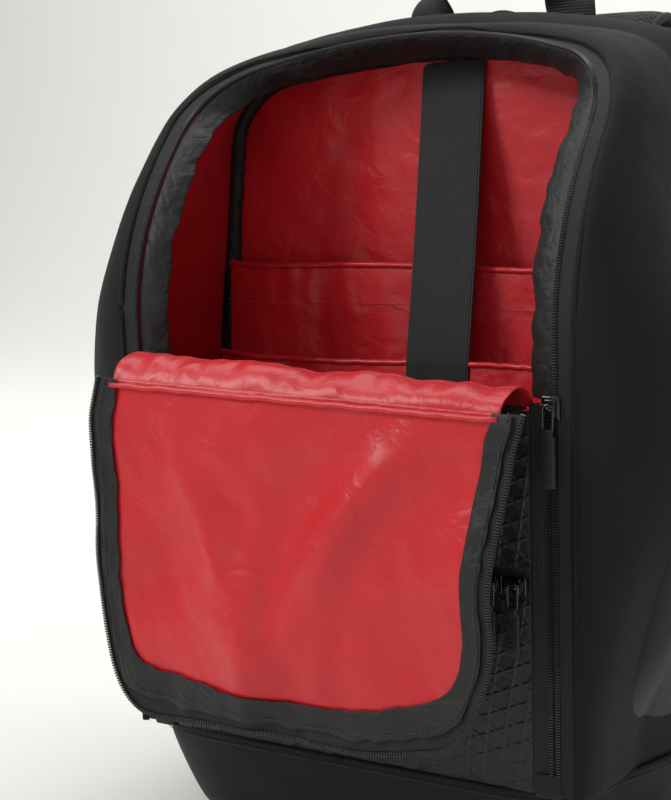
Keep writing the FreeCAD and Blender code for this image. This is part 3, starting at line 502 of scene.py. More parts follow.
class Hardware:
    """Gathers small solids in one mesh."""

    def __init__(self) -> None:
        """Starts an empty mesh."""
        self.shape = bmesh.new()

    def block(self, size: Vector, at: Vector, bevel: float) -> None:
        """Adds a block with rounded edges."""
        made = bmesh.ops.create_cube(self.shape, size=1.0)["verts"]
        for v in made:
            v.co = Vector((v.co.x * size.x, v.co.y * size.y, v.co.z * size.z)) + at
        edges = list({e for v in made for e in v.link_edges})
        bmesh.ops.bevel(self.shape, geom=edges, offset=bevel, segments=3, affect="EDGES", profile=0.5)

    def rod(self, path: list[Vector], radius: float, sides: int = 10, closed: bool = False) -> None:
        """Adds a wire along a path.

        Args:
            path: Points along the middle.
            radius: Radius of the wire.
            sides: Number of sides.
            closed: Whether the path joins itself.
        """
        rings, count = [], len(path)
        for i, p in enumerate(path):
            after = path[(i + 1) % count] if closed else path[min(i + 1, count - 1)]
            before = path[i - 1] if closed else path[max(i - 1, 0)]
            along = (after - before).normalized()
            side = along.cross(Y)
            side = side.normalized() if side.length > 1e-4 else along.orthogonal().normalized()
            up = side.cross(along)
            rings.append([self.shape.verts.new(p + side * radius * math.cos(a) + up * radius * math.sin(a))
                          for a in (math.tau * k / sides for k in range(sides))])
        for i in range(count if closed else count - 1):
            one, two = rings[i], rings[(i + 1) % count]
            for j in range(sides):
                k = (j + 1) % sides
                self.shape.faces.new((one[j], one[k], two[k], two[j]))
        if not closed:
            self.shape.faces.new(rings[0][::-1])
            self.shape.faces.new(rings[-1])

    def finish(self, name: str, finish: Finish, spot: Matrix) -> bpy.types.Object:
        """Makes the object.

        Args:
            name: The piece's name.
            finish: The finish it takes.
            spot: Place of the gathered mesh, in millimetres.

        Returns:
            The object.
        """
        bmesh.ops.recalc_face_normals(self.shape, faces=self.shape.faces)
        self.shape.transform(Matrix.Scale(MM, 4) @ spot)
        mesh = bpy.data.meshes.new(name)
        for face in self.shape.faces:
            face.smooth = True
        self.shape.to_mesh(mesh)
        self.shape.free()
        mesh.materials.append(finish.material())
        return add_object(name, mesh)


@dataclass(frozen=True)
class Repeat:
    """A small solid repeated along paths by Geometry Nodes: zipper teeth or stitches. Millimetres."""

    spacing: float
    radius: float
    length: float
    flatness: float = 1.0
    crosswise: bool = True
    uneven: float = 0.0
    sides: int = 6

    def tree(self, finish: Finish) -> bpy.types.NodeTree:
        """Builds the node tree, with named inputs for its sizes."""
        tree = bpy.data.node_groups.new("repeat_along", "GeometryNodeTree")
        face = tree.interface
        face.new_socket("Geometry", in_out="INPUT", socket_type="NodeSocketGeometry")
        for label in ("Spacing", "Radius", "Length", "Flatness", "Uneven"):
            face.new_socket(label, in_out="INPUT", socket_type="NodeSocketFloat")
        face.new_socket("Geometry", in_out="OUTPUT", socket_type="NodeSocketGeometry")
        given = add_node(tree, "NodeGroupInput").outputs
        line = add_node(tree, "GeometryNodeMeshToCurve", None, {"Mesh": given["Geometry"]})
        spots = add_node(tree, "GeometryNodeCurveToPoints", None,
                         {"Curve": line.outputs[0], "Length": given["Spacing"]}, mode="LENGTH")
        outward = add_node(tree, "GeometryNodeInputNamedAttribute", {"Name": "outward"},
                           data_type="FLOAT_VECTOR").outputs["Attribute"]
        tangent = spots.outputs["Tangent"]
        aim = tangent
        if self.crosswise:
            aim = add_node(tree, "ShaderNodeVectorMath", None, {0: tangent, 1: outward},
                           operation="CROSS_PRODUCT").outputs[0]
        first = add_node(tree, "FunctionNodeAlignRotationToVector", None, {"Vector": aim}, axis="Z")
        second = add_node(tree, "FunctionNodeAlignRotationToVector", None,
                          {"Rotation": first.outputs[0], "Vector": outward}, axis="Y", pivot_axis="Z")
        rod = add_node(tree, "GeometryNodeMeshCylinder", {"Vertices": self.sides}, {
            "Radius": given["Radius"], "Depth": given["Length"]}, fill_type="NGON")
        change = add_node(tree, "FunctionNodeRandomValue", {"Seed": 11}, {"Max": given["Uneven"]},
                          data_type="FLOAT")
        stretch = add_node(tree, "ShaderNodeMath", {0: 1.0}, {1: change.outputs["Value"]},
                           operation="SUBTRACT")
        scale = add_node(tree, "ShaderNodeCombineXYZ", {"X": 1.0},
                         {"Y": given["Flatness"], "Z": stretch.outputs[0]})
        copies = add_node(tree, "GeometryNodeInstanceOnPoints", None, {
            "Points": spots.outputs["Points"], "Instance": rod.outputs["Mesh"], "Rotation": second.outputs[0],
            "Scale": scale.outputs[0]})
        real = add_node(tree, "GeometryNodeRealizeInstances", None, {"Geometry": copies.outputs[0]})
        soft = add_node(tree, "GeometryNodeSetShadeSmooth", {"Shade Smooth": False},
                        {"Geometry": real.outputs[0]})
        dressed = add_node(tree, "GeometryNodeSetMaterial", {"Material": finish.material()},
                           {"Geometry": soft.outputs[0]})
        add_node(tree, "NodeGroupOutput", None, {"Geometry": dressed.outputs[0]})
        return tree

    def run(self, name: str, paths: list[list[tuple[Vector, Vector]]], finish: Finish) -> bpy.types.Object:
        """Repeats the solid along paths.

        Args:
            name: The piece's name.
            paths: Paths of points, each with the direction that faces out there.
            finish: The finish of the copies.

        Returns:
            One plain mesh object.
        """
        mesh, points, edges, facing = bpy.data.meshes.new(name), [], [], []
        for path in paths:
            edges += [(len(points) + i, len(points) + i + 1) for i in range(len(path) - 1)]
            points += [p * MM for p, _ in path]
            facing += [c for _, n in path for c in n]
        mesh.from_pydata(points, edges, [])
        mesh.attributes.new("outward", "FLOAT_VECTOR", "POINT").data.foreach_set("vector", facing)
        line = add_object(name + "_line", mesh)
        nodes = line.modifiers.new("repeat", "NODES")
        nodes.node_group = self.tree(finish)
        sizes = {"Spacing": self.spacing * MM, "Radius": self.radius * MM, "Length": self.length * MM,
                 "Flatness": self.flatness, "Uneven": self.uneven}
        for socket in nodes.node_group.interface.items_tree:
            if socket.in_out == "INPUT" and socket.name in sizes:
                nodes[socket.identifier] = sizes[socket.name]
        graph = bpy.context.evaluated_depsgraph_get()
        graph.update()
        result = bpy.data.meshes.new_from_object(line.evaluated_get(graph), depsgraph=graph)
        line.modifiers.clear()
        bpy.data.objects.remove(line)
        if not result.materials:
            result.materials.append(finish.material())
        for old in list(result.attributes):
            if old.name == "outward":
                result.attributes.remove(old)
        result.name = name
        return add_object(name, result)


TEETH = Repeat(1.35, 0.56, 2.2, 1.15)
STITCH = Repeat(3.0, 0.32, 2.1, 0.7, crosswise=False, uneven=0.15)


def place(piece: bpy.types.Object, body: str, slot: str, *nodes: str) -> bpy.types.Object:
    """Puts a piece on a body and hides the nodes it stands for.

    Args:
        piece: The finished piece.
        body: The body it rides on.
        slot: The record's material slot; not used.
        *nodes: The nodes that it replaces.

    Returns:
        The same object.
    """
    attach(piece, body)
    if nodes:
        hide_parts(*nodes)
    log.info("%s on %s", piece.name, body)
    return piece


def bend(piece: bpy.types.Object, first: str, second: str, start: tuple, end: tuple, slot: str,
         *nodes: str) -> bpy.types.Object:
    """Lets a piece bend from one body to another.

    Args:
        piece: The finished piece.
        first: The body it follows before start.
        second: The body it follows after end.
        start: Point in millimetres.
        end: Point in millimetres.
        slot: The record's material slot.
        *nodes: The nodes that it replaces.

    Returns:
        The same object.
    """
    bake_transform(piece, first, second, start=tuple(c * MM for c in start), end=tuple(c * MM for c in end))
    if nodes:
        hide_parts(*nodes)
    log.info("%s between %s and %s", piece.name, first, second)
    return piece


def dress(node: str, finish: Finish) -> None:
    """Gives one of the frame's own nodes a finish."""
    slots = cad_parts[node].data.materials
    slots.clear()
    slots.append(finish.material())


def declare_sheet() -> None:
    """Does nothing: it defines a length helper for a sheet's cut size and never calls it.
    """
    def length(line: list[Vector]) -> float:
        return sum((b - a).length for a, b in zip(line, line[1:])) * MM


# ---------------------------------------------------------------- the bag's form


@dataclass(frozen=True)
class Arch:
    """Outline of straight sides, two shoulders and a crown, all tangent. Millimetres."""

    half: float
    corner: float
    rise: float
    spring: float = 374.0

    @property
    def crown(self) -> float:
        """Radius of the crown."""
        return ((self.half - self.corner) ** 2 + self.rise**2 - self.corner**2) / (2 * (self.rise - self.corner))

    def at(self, angle: float, inset: float = 0.0) -> tuple[Vector, Vector]:
        """Point and outward normal where the normal stands at angle."""
        crown_z = self.spring + self.rise - self.crown
        turn = math.atan2(self.spring - crown_z, self.half - self.corner)
        normal = Vector((math.cos(angle), 0, math.sin(angle)))
        if turn <= angle <= math.pi - turn:
            centre, radius = Vector((0, 0, crown_z)), self.crown
        else:
            side = 1 if angle < turn else -1
            centre, radius = Vector((side * (self.half - self.corner), 0, self.spring)), self.corner
        return centre + normal * (radius - inset), normal

    def path(self, foot: float, pitch: float = 4.0, inset: float = 0.0) -> list[tuple[Vector, Vector]]:
        """Points with their normals from the right foot over the crown to the left foot.

        Args:
            foot: Height of both ends.
            pitch: Distance between points.
            inset: Distance inside the outline.

        Returns:
            Points and normals.
        """
        count = max(int((self.spring - foot) / pitch), 1)
        right = [(Vector((self.half - inset, 0, mix(foot, self.spring, i / count))),
                  X.copy()) for i in range(count)]
        fine = [self.at(math.pi * i / 720, inset) for i in range(721)]
        over, since = [fine[0]], 0.0
        for before, now in zip(fine, fine[1:]):
            since += (now[0] - before[0]).length
            if since >= pitch:
                over.append(now)
                since = 0.0
        half = [p for p in over if p[0].x > 0.3 * pitch]
        crown = [self.at(math.pi / 2, inset)]
        left = [(Vector((-p.x, p.y, p.z)), Vector((-n.x, n.y, n.z))) for p, n in (right + half)[::-1]]
        return right + half + crown + left


@dataclass(frozen=True)
class Form:
    """The bag's outer form, in millimetres, as the frame has it."""

    base: float = 54.0
    fold: float = 242.0
    bend: float = 280.0
    top: float = 427.0
    front_y: float = -92.0
    base_front_y: float = -76.0
    foot_front_y: float = -62.0
    setback: float = 101.0
    gusset_end: float = 53.5
    back_y: float = 103.0
    tape: float = 10.0
    zip: Arch = Arch(115.0, 40.0, 53.0)
    rear: Arch = Arch(152.0, 56.0, 66.0)

    def front(self, z: float) -> float:
        """Y of the front face."""
        if z <= self.base:
            return mix(self.foot_front_y, self.base_front_y, z / self.base)
        if z <= self.bend:
            return mix(self.base_front_y, self.front_y, (z - self.base) / (self.bend - self.base))
        share = (z - self.bend) / (self.top - self.bend)
        return self.front_y + self.setback * share * share

    def side_half(self, z: float) -> float:
        """Half width of the bulged side."""
        if z <= self.base:
            return mix(113.0, 131.0, step(0, self.base, z))
        if z <= self.fold:
            return mix(131.0, 170.0, step(self.base, self.fold, z))
        return mix(170.0, 140.0, step(self.fold, self.zip.spring, z))

    def rear_reach(self, start: Vector, normal: Vector) -> float:
        """Distance from start along normal to the racket compartment's outline."""
        arch, low, high = self.rear, 0.0, self.rear.half
        crown_z = arch.spring + arch.rise - arch.crown
        turn = math.atan2(arch.spring - crown_z, arch.half - arch.corner)
        for _ in range(26):
            reach = (low + high) / 2
            spot = start + normal * reach
            past = abs(spot.x) - (arch.half - arch.corner)
            if spot.z <= arch.spring:
                inside = abs(spot.x) < arch.half
            elif math.atan2(spot.z - crown_z, abs(spot.x)) > turn:
                inside = math.hypot(spot.x, spot.z - crown_z) < arch.crown
            else:
                inside = past < 0 or math.hypot(past, spot.z - arch.spring) < arch.corner
            low, high = (reach, high) if inside else (low, reach)
        return low

    def lean(self, start: Vector) -> float:
        """Angle by which the tape lies back from the outline's plane, more towards the crown."""
        return math.radians(78.0) * step(0.0, 1.0, (start.z - self.zip.spring) / self.zip.rise)

    def outward(self, start: Vector, normal: Vector) -> Vector:
        """Direction across the outer tape at a point of the zipper."""
        lean = self.lean(start)
        return normal * math.cos(lean) + Y * math.sin(lean)

    def gusset(self, start: Vector, normal: Vector, share: float, inset: float = 0.0) -> Vector:
        """Point of the main gusset's section.

        Args:
            start: Point of the zipper outline.
            normal: Outward normal there.
            share: 0 at the zipper tape and 1 at the rear seam.
            inset: Distance inside the outer skin.

        Returns:
            The point.
        """
        def skin(k: float) -> tuple[float, float]:
            back = self.front(start.z) + self.tape * math.sin(self.lean(start)) + 1.5
            edge = self.tape * math.cos(self.lean(start))
            reach = self.rear_reach(start, normal)
            if start.z <= self.zip.spring:
                lift = max(self.side_half(start.z) - self.zip.half - self.tape, 0.0)
            else:
                rise = (start.z - self.zip.spring) / self.zip.rise
                lift = mix(15.0, (reach - edge) * 0.35, rise)
            depth = min(58.0, (self.gusset_end - back) * 0.7)
            if k <= 0.6:
                a = math.pi / 2 * k / 0.6
                return edge + lift * math.sin(a), back + depth * (1 - math.cos(a))
            t = (k - 0.6) / 0.4
            return (mix(edge + lift, reach, t) + 6 * t * (1 - t), mix(back + depth, self.gusset_end, t))

        u, y = skin(share)
        u0, y0 = skin(max(share - 0.02, 0.0))
        u1, y1 = skin(min(share + 0.02, 1.0))
        size = math.hypot(u1 - u0, y1 - y0)
        return start + normal * (u - (y1 - y0) / size * inset) + Y * (y + (u1 - u0) / size * inset)

    def on_front(self, x: float, z: float, out: float = 0.0) -> Vector:
        """Point on the front face, standing out towards the viewer by out."""
        return Vector((x, self.front(z) - out, z))


FORM = Form()


# ---------------------------------------------------------------- outer shell


@dataclass
class Shell:
    """Main gusset, base and racket compartment. Millimetres."""

    wall: float = 4.0
    seam_share: float = 0.34
    piping: float = 1.7
    stitch_z: float = 49.6

    def gusset(self) -> None:
        """Padded gusset from the zipper tape to the rear seam, with one joining seam."""
        path = FORM.zip.path(FORM.base + 0.6, 5.0)
        rows, count = [], 22
        for p, n in path:
            row = []
            for j in range(count + 1):
                k = j / count
                spot = FORM.gusset(p, n, k)
                far = min(k * 160, (1 - k) * 150)
                pucker = 0.7 * ripple(spot.z + spot.x, k, 6.0, 2) * math.exp(-far / 9)
                groove = -1.3 * math.exp(-(((k - self.seam_share) * 150 / 2.4) ** 2))
                soft = 1.6 * ripple(spot.z - spot.x, spot.y, 60.0, 5) * min(far / 20, 1)
                slack = 0.8 * ripple(spot.z * 0.6, spot.y, 22.0, 8) * min(far / 20, 1)
                inner = FORM.gusset(p, n, k, 1.0)
                row.append(spot + (spot - inner).normalized() * (pucker + groove + soft + slack))
            rows.append(row)
        piece = surface("gusset_shell", rows, SHELL, self.wall, flip=True)
        place(piece, "bag", "coated_fabric", "gusset_left", "gusset_right", "gusset_top")
        seams = []
        for k in (self.seam_share + 0.022, 0.035, 0.965):
            seams.append([(FORM.gusset(p, n, k, -0.4),
                           (FORM.gusset(p, n, k, 0) - FORM.gusset(p, n, k, 1)).normalized())
                          for p, n in path])
        place(STITCH.run("gusset_stitches", seams, THREAD), "bag", "coated_fabric")

    def base_ring(self, z: float, inset: float, count: int = 120) -> list[Vector]:
        """Outline of the base at height z.

        Args:
            z: Height.
            inset: Distance inside the outline.
            count: Number of points.

        Returns:
            Points round the base.
        """
        corner = 43.5
        half = FORM.side_half(z) - inset
        rear = mix(138.0, 152.0, z / FORM.base) - inset
        y = FORM.front(z) + inset
        front_half = FORM.zip.half * FORM.side_half(z) / 131.0 - inset
        right = [(0, y), (front_half * 0.5, y), (front_half * 0.84, y + 1),
                 ((front_half * 0.86 + half) / 2 + 6, y + corner * 0.3),
                 (half, y + corner), (mix(half, rear, 0.5), -2), (rear, 46), (rear, FORM.back_y - 12),
                 (rear - 5, FORM.back_y - 2 - inset), (rear - 18, FORM.back_y - inset),
                 (rear * 0.45, FORM.back_y + 1 - inset)]
        ring = [Vector((a, b, z)) for a, b in right]
        ring += [Vector((-p.x, p.y, z)) for p in ring[::-1]][:-1]
        ring.insert(len(right), Vector((0, FORM.back_y + 1 - inset, z)))
        return spline(ring + ring[:1], count + 1)[:-1]

    def base(self) -> None:
        """Soft moulded base with a rounded foot and a piped top seam."""
        levels = [(0.4, 60), (0.3, 26), (0.3, 10), (1.6, 4), (5, 1.2), (11, 0.2), (20, 0), (30, 0), (40, 0),
                  (48, 0.2), (52.5, 1.0), (54.2, 2.2)]
        rows = []
        for z, inset in levels:
            ring = self.base_ring(z, inset)
            if 2 < z < 52:
                for p in ring:
                    out = Vector((p.x, p.y * 0.8, 0)).normalized()
                    p += out * (1.1 * ripple(p.x + p.y, p.z, 45.0, 3) + 0.7 * ripple(p.x - p.y, p.z, 16.0, 4))
            rows.append(ring)
        piece = surface("base_shell", rows, BASE, 2.6, ring=True)
        place(piece, "bag", "base_fabric", "base_tub")
        floor = self.base_ring(0.4, 58)
        middle = sum(floor, Vector()) / len(floor)
        rows = [[middle + (p - middle) * k + Z * 0.2 for p in floor] for k in (1.04, 0.7, 0.35, 0.02)]
        place(surface("base_underside", rows, BASE, 2.0, ring=True, flip=True, offset=-1.0), "bag",
              "base_fabric")
        seam = self.base_ring(53.9, -0.3)
        place(tube("base_piping", [*seam, seam[0]], self.piping, SHELL), "bag", "coated_fabric")
        line = self.base_ring(self.stitch_z, -0.7)
        stitched = [(p, Vector((p.x, p.y, 0)).normalized()) for p in [*line, line[0]]]
        place(STITCH.run("base_stitches", [stitched], THREAD), "bag", "base_fabric")

    def rear(self) -> None:
        """Racket compartment: its gusset, the two zipper tapes, teeth and the piping of its seams; the back panel is
        made in back().
        """
        def band(name: str, low: float, high: float, lift: float, crown: float, finish: Finish,
                 wall: float) -> object:
            rows = []
            for p, n in FORM.rear.path(FORM.base + 0.6, 6.0):
                row = []
                for j in range(7):
                    k = j / 6
                    out = lift + crown * 4 * k * (1 - k) + 0.35 * ripple(p.x + p.z, k * 20, 11.0, 6)
                    row.append(p + n * out + Y * mix(low, high, k))
                rows.append(row)
            return surface(name, rows, finish, wall, flip=True)

        middle = (FORM.gusset_end + FORM.back_y - 19) / 2
        place(band("rear_band", FORM.back_y - 19, FORM.back_y + 1, 0.4, 1.3, SHELL, 3.5), "bag",
              "coated_fabric",
              "rear_gusset")
        front_tape = band("racket_tape_front", FORM.gusset_end - 1, middle - 2.2, 0.2, 0.3, TAPE, 1.0)
        place(front_tape, "bag", "zip_tape", "racket_zip_tapes")
        place(band("racket_tape_rear", middle + 2.2, FORM.back_y - 18.5, 0.2, 0.3, TAPE, 1.0), "bag",
              "zip_tape")
        path = FORM.rear.path(FORM.base + 2, 4.0)
        for number, y in enumerate((middle - 1.5, middle + 1.5)):
            teeth = TEETH.run(f"racket_teeth_{number + 1}", [[(p + n * 1.4 + Y * y, n) for p, n in path]],
                              COIL)
            place(teeth, "bag", "zip_coil", *(["racket_zip_coils"] if number else []))
        for number, y in enumerate((FORM.gusset_end, FORM.back_y - 18.6, FORM.back_y + 2.5)):
            line = [p + n * 0.8 + Y * y for p, n in FORM.rear.path(FORM.base + 1, 5.0)]
            place(tube(f"rear_piping_{number + 1}", line, self.piping, SHELL), "bag", "coated_fabric")

    def back(self) -> None:
        """Back panel with a quilted channel grid."""
        rows = []
        path = FORM.rear.path(FORM.base + 1, 6.0, 0.8)
        right = [p for p, _ in path[: len(path) // 2]]
        for p in right:
            row = []
            for j in range(41):
                x = p.x * (1 - 2 * j / 40)
                edge = min(p.x - abs(x), 20) / 20
                channel = math.exp(-((((p.z + 300) % 38) - 19) / 2.6) ** 2) + math.exp(-((abs(x) - 103) / 2.6) ** 2)
                out = 5.4 + 2.2 * step(0, 1, edge) - 1.8 * min(channel, 1) * step(0.3, 1, edge)
                row.append(Vector((x, FORM.back_y + out, p.z)))
            rows.append(row)
        piece = surface("back_quilt", rows, MESH, 4.5)
        place(piece, "bag", "coated_fabric", "back_panel")


SHELL_PARTS = Shell()


@dataclass
class Pads:
    """Back pads and shoulder straps, filled with foam."""

    cap: float = 5.0
    voxel: float = 5.0

    def inflate(self, piece: bpy.types.Object, cap: float) -> bpy.types.Object:
        """Swells a closed form with a short cloth simulation and applies it.

        Args:
            piece: The closed form.
            cap: Furthest that a point may move, in millimetres.

        Returns:
            The same object.
        """
        scene = bpy.context.scene
        bpy.context.view_layer.objects.active = piece
        remesh = piece.modifiers.new("voxels", "REMESH")
        remesh.mode, remesh.voxel_size, remesh.use_smooth_shade = "VOXEL", self.voxel * MM, True
        bpy.ops.object.modifier_apply(modifier=remesh.name)
        start = [v.co.copy() for v in piece.data.vertices]
        cloth = piece.modifiers.new("swell", "CLOTH")
        cloth.settings.use_pressure, cloth.settings.uniform_pressure_force = True, 4.0
        cloth.settings.effector_weights.gravity = 0.0
        cloth.settings.quality = 5
        for number in range(1, 21):
            scene.frame_set(number)
        graph = bpy.context.evaluated_depsgraph_get()
        swollen = piece.evaluated_get(graph).to_mesh()
        moved = [v.co.copy() for v in swollen.vertices]
        piece.evaluated_get(graph).to_mesh_clear()
        piece.modifiers.clear()
        scene.frame_set(1)
        furthest = 0.0
        for vertex, before, after in zip(piece.data.vertices, start, moved):
            change = after - before
            furthest = max(furthest, change.length / MM)
            if change.length > cap * MM:
                change *= cap * MM / change.length
            vertex.co = before + change
        log.info("%s swelled by %.2f mm before the cap", piece.name, furthest)
        return piece

    def back_pads(self) -> None:
        """Two pads down the back, crowned and drawn in at their seams."""
        for side, sign in (("right", 1), ("left", -1)):
            rings = []
            for depth, inset in ((0.0, 3.0), (1.5, 0.5), (6.0, 0.0), (8.5, 3.0), (9.4, 9.0)):
                ring = []
                for k in range(72):
                    a = math.tau * k / 72
                    c, s = math.cos(a), math.sin(a)
                    x = math.copysign(abs(c) ** 0.42, c) * (43 - inset)
                    z = math.copysign(abs(s) ** 0.24, s) * (131 - inset)
                    ring.append(Vector((sign * 55.5 + x, 109.5 + depth, 222 + z)))
                rings.append(ring)
            piece = closed_skin(f"back_pad_{side}_foam", rings, MESH, levels=0)
            self.inflate(piece, self.cap)
            for vertex in piece.data.vertices:
                z = vertex.co.z / MM
                line = math.exp(-((((z - 90) % 66) - 33) / 3.0) ** 2)
                if vertex.co.y / MM > 113:
                    vertex.co.y -= 2.6 * line * MM
                vertex.co.y = min(max(vertex.co.y, 108.6 * MM), 122.0 * MM)
            self.unwrap(piece)
            thicken(piece, 0, levels=1)
            place(piece, "bag", "strap_mesh", f"back_pad_{side}")

    @staticmethod
    def unwrap(piece: bpy.types.Object) -> None:
        """Gives a remeshed pad surface coordinates in millimetres from its x and z."""
        mesh = piece.data
        while mesh.uv_layers:
            mesh.uv_layers.remove(mesh.uv_layers[0])
        layer = mesh.uv_layers.new(name="UVMap")
        for loop in mesh.loops:
            co = mesh.vertices[loop.vertex_index].co / MM
            layer.data[loop.index].uv = (co.x + co.y * 0.5, co.z + co.y * 0.5)
        mesh.polygons.foreach_set("use_smooth", [True] * len(mesh.polygons))

    def shoulder_straps(self) -> None:
        """Padded straps, their edge binding and the adjusting webbing."""
        y = FORM.back_y + 5.5
        points = [Vector((60, y + 13, 414)), Vector((61, y + 25, 441)), Vector((63, y + 44, 445)),
                  Vector((67, y + 59, 420)), Vector((75, y + 65, 368)), Vector((86, y + 61, 312)),
                  Vector((99, y + 52, 260))]
        widths = [46, 54, 57, 57, 55, 48, 38]
        for side, sign in (("right", 1), ("left", -1)):
            centre = [Vector((sign * p.x, p.y, p.z)) for p in spline(points, 60)]
            wide = [w.x for w in spline([Vector((w, 0, 0)) for w in widths], 60)]
            rings, edge_paths = [], [[], []]
            for i, p in enumerate(centre):
                along = (centre[min(i + 1, 59)] - centre[max(i - 1, 0)]).normalized()
                across = (X - along * along.x).normalized()
                up = along.cross(across).normalized()
                thick = 4.6 * (0.55 + 0.45 * step(0, 5, i) * step(59, 54, i) if i < 59 else 0.55)
                ring = []
                for k in range(24):
                    a = math.tau * k / 24
                    c, s = math.cos(a), math.sin(a)
                    u = math.copysign(abs(c) ** 0.55, c) * wide[i] / 2
                    v = math.copysign(abs(s) ** 0.8, s) * thick
                    ring.append(p + across * u + up * v)
                rings.append(ring)
                for n, e in enumerate((-1, 1)):
                    edge_paths[n].append(p + across * e * (wide[i] / 2 - 0.6))
            pad = closed_skin(f"shoulder_strap_{side}_pad", rings, MESH, levels=1)
            body = f"shoulder_strap_{side}"
            place(pad, body, "strap_mesh", body)
            for n, path in enumerate(edge_paths):
                place(tube(f"shoulder_strap_{side}_binding_{n + 1}", path, 2.6, ELASTIC, sides=10), body,
                      "elastic")
            along = (points[-1] - points[-2]).normalized()
            end = points[-1] + along * 33
            tail = spline([end, Vector((114, y + 28, 160)), Vector((121, y + 12, 110)),
                           Vector((124, y + 7, 76))], 30)
            tail = [Vector((sign * p.x, p.y, p.z)) for p in tail]
            place(ribbon(f"strap_tail_{side}", tail, [X] * 30, [25.0] * 30, 1.8, WEBBING), body, "webbing",
                  f"strap_webbing_{side}")


# ---------------------------------------------------------------- main zipper and the opening


@dataclass
class Opening:
    """Tape, teeth and facing round the opening, and the closed stretches below the sliders."""

    fold_top: float = 249.0

    def line(self, offset: float, foot: float, out: float = 0.0,
             pitch: float = 4.0) -> list[tuple[Vector, Vector]]:
        """Path along the zipper at an offset across it.

        Args:
            offset: Distance outside the zipper's middle.
            foot: Height of both ends.
            out: Distance in front of the tape.
            pitch: Distance between points.

        Returns:
            Points with the direction that faces out.
        """
        made = []
        for p, n in FORM.zip.path(foot, pitch):
            across = FORM.outward(p, n) if offset > 0 else n
            slope = 2 * FORM.setback * max(p.z - FORM.bend, 0) / (FORM.top - FORM.bend) ** 2
            facing = (Vector((0, -1, 0)) + Z * slope * max(n.z, 0.0)).normalized()
            lean = FORM.lean(p)
            facing = (facing * math.cos(lean * 0.6) + n * math.sin(lean * 0.6)).normalized()
            base = Vector((p.x, FORM.front(p.z), p.z))
            made.append((base + across * offset + facing * out, facing))
        return made

    def tape(self) -> None:
        """Outer tape and the teeth on the bag's side."""
        foot = FORM.base + 1.5
        lines = [self.line(offset, foot, 0.2) for offset in (0.4, 2.6, 5.0, 8.0, 10.6)]
        rows = [[lines[j][i][0] + lines[j][i][1] * 0.25 * ripple(i * 4.0, j, 9.0, 1) for j in range(5)]
                for i in range(len(lines[0]))]
        place(surface("main_tape", rows, TAPE, 1.0, flip=True), "bag", "zip_tape", "main_zip_tape")
        teeth = TEETH.run("main_teeth", [self.line(1.7, foot, 1.3)], COIL)
        place(teeth, "bag", "zip_coil", "main_zip_coil")
        seam = [(p + f * 0.5, f) for p, f in self.line(9.0, foot)]
        place(STITCH.run("tape_stitches", [seam], THREAD), "bag", "zip_tape")

    def lip(self) -> None:
        """Edge of the shell that laps over the tape's outer side."""
        foot = FORM.base + 1
        path = [p + f * 0.8 for p, f in self.line(10.8, foot)]
        place(tube("opening_lip", path, 1.9, SHELL), "bag", "coated_fabric")

    def facing(self) -> None:
        """Black facing inside the opening, gathered into puckers along its free edge."""
        rows = []
        path = FORM.zip.path(FORM.fold + 5, 2.5)
        for i, (p, n) in enumerate(path):
            crown = step(FORM.zip.spring, FORM.top, p.z)
            front = FORM.front(p.z)
            row = []
            for j in range(9):
                k = j / 8
                width = 13.5 + 2.6 * ripple(i * 2.5, 0, 12.0, 9) + 1.4 * ripple(i * 2.5, 0, 5.0, 10)
                wave = (0.9 * ripple(i * 2.5, k * 6, 5.5, 11) + 1.5 * ripple(i * 2.5, k * 6, 14.0, 12)) * k
                back = 1.2 + 7.0 * k * k + wave * 1.3 + crown * 7 * k
                row.append(Vector((p.x, front + back,
                                   p.z)) - n * (width * k * (1 - 0.25 * crown) - 1.0 + wave))
            rows.append(row)
        place(surface("opening_facing_cloth", rows, FACING, 0.9), "bag", "black_lining", "opening_facing")

    def closed_zip(self) -> None:
        """Zipped-shut stretches under the sliders, with the tabs that end them."""
        foot = FORM.base + 1.5
        tapes, teeth = [], []
        for sign in (1, -1):
            rows = []
            for i in range(45):
                z = mix(foot, self.fold_top - 3, i / 44)
                rows.append([FORM.on_front(sign * (115 - e), z, -0.5 + 0.06 * e)
                             for e in (-2.6, 2.0, 6.0, 11.8)])
            tapes.append(rows)
            teeth.append([(FORM.on_front(sign * 113.3, mix(foot, self.fold_top - 3, i / 40), 1.3), -Y)
                          for i in range(41)])
        for number, rows in enumerate(tapes):
            piece = surface(f"front_tape_{number + 1}", rows, TAPE, 1.0, flip=number == 1)
            place(piece, "bag", "zip_tape", *(["front_zip_tapes"] if number else []))
        place(TEETH.run("front_teeth", teeth, COIL), "bag", "zip_coil", "front_zip_coils")
        tabs = Hardware()
        for sign in (1, -1):
            tabs.block(Vector((13, 3.2, 12)), Vector((sign * 111.5, FORM.front(60) - 0.8, 60.5)), 1.1)
        place(tabs.finish("zip_end_tabs", ELASTIC, Matrix.Identity(4)), "bag", "coated_fabric", "zip_garages")
        rows = []
        for sign in (1, -1):
            rows.append([(FORM.on_front(sign * 103.4, mix(58, 240, i / 60), 1.0), -Y) for i in range(61)])
        place(STITCH.run("front_strip_stitches", rows, THREAD), "bag", "coated_fabric")


# ---------------------------------------------------------------- inside


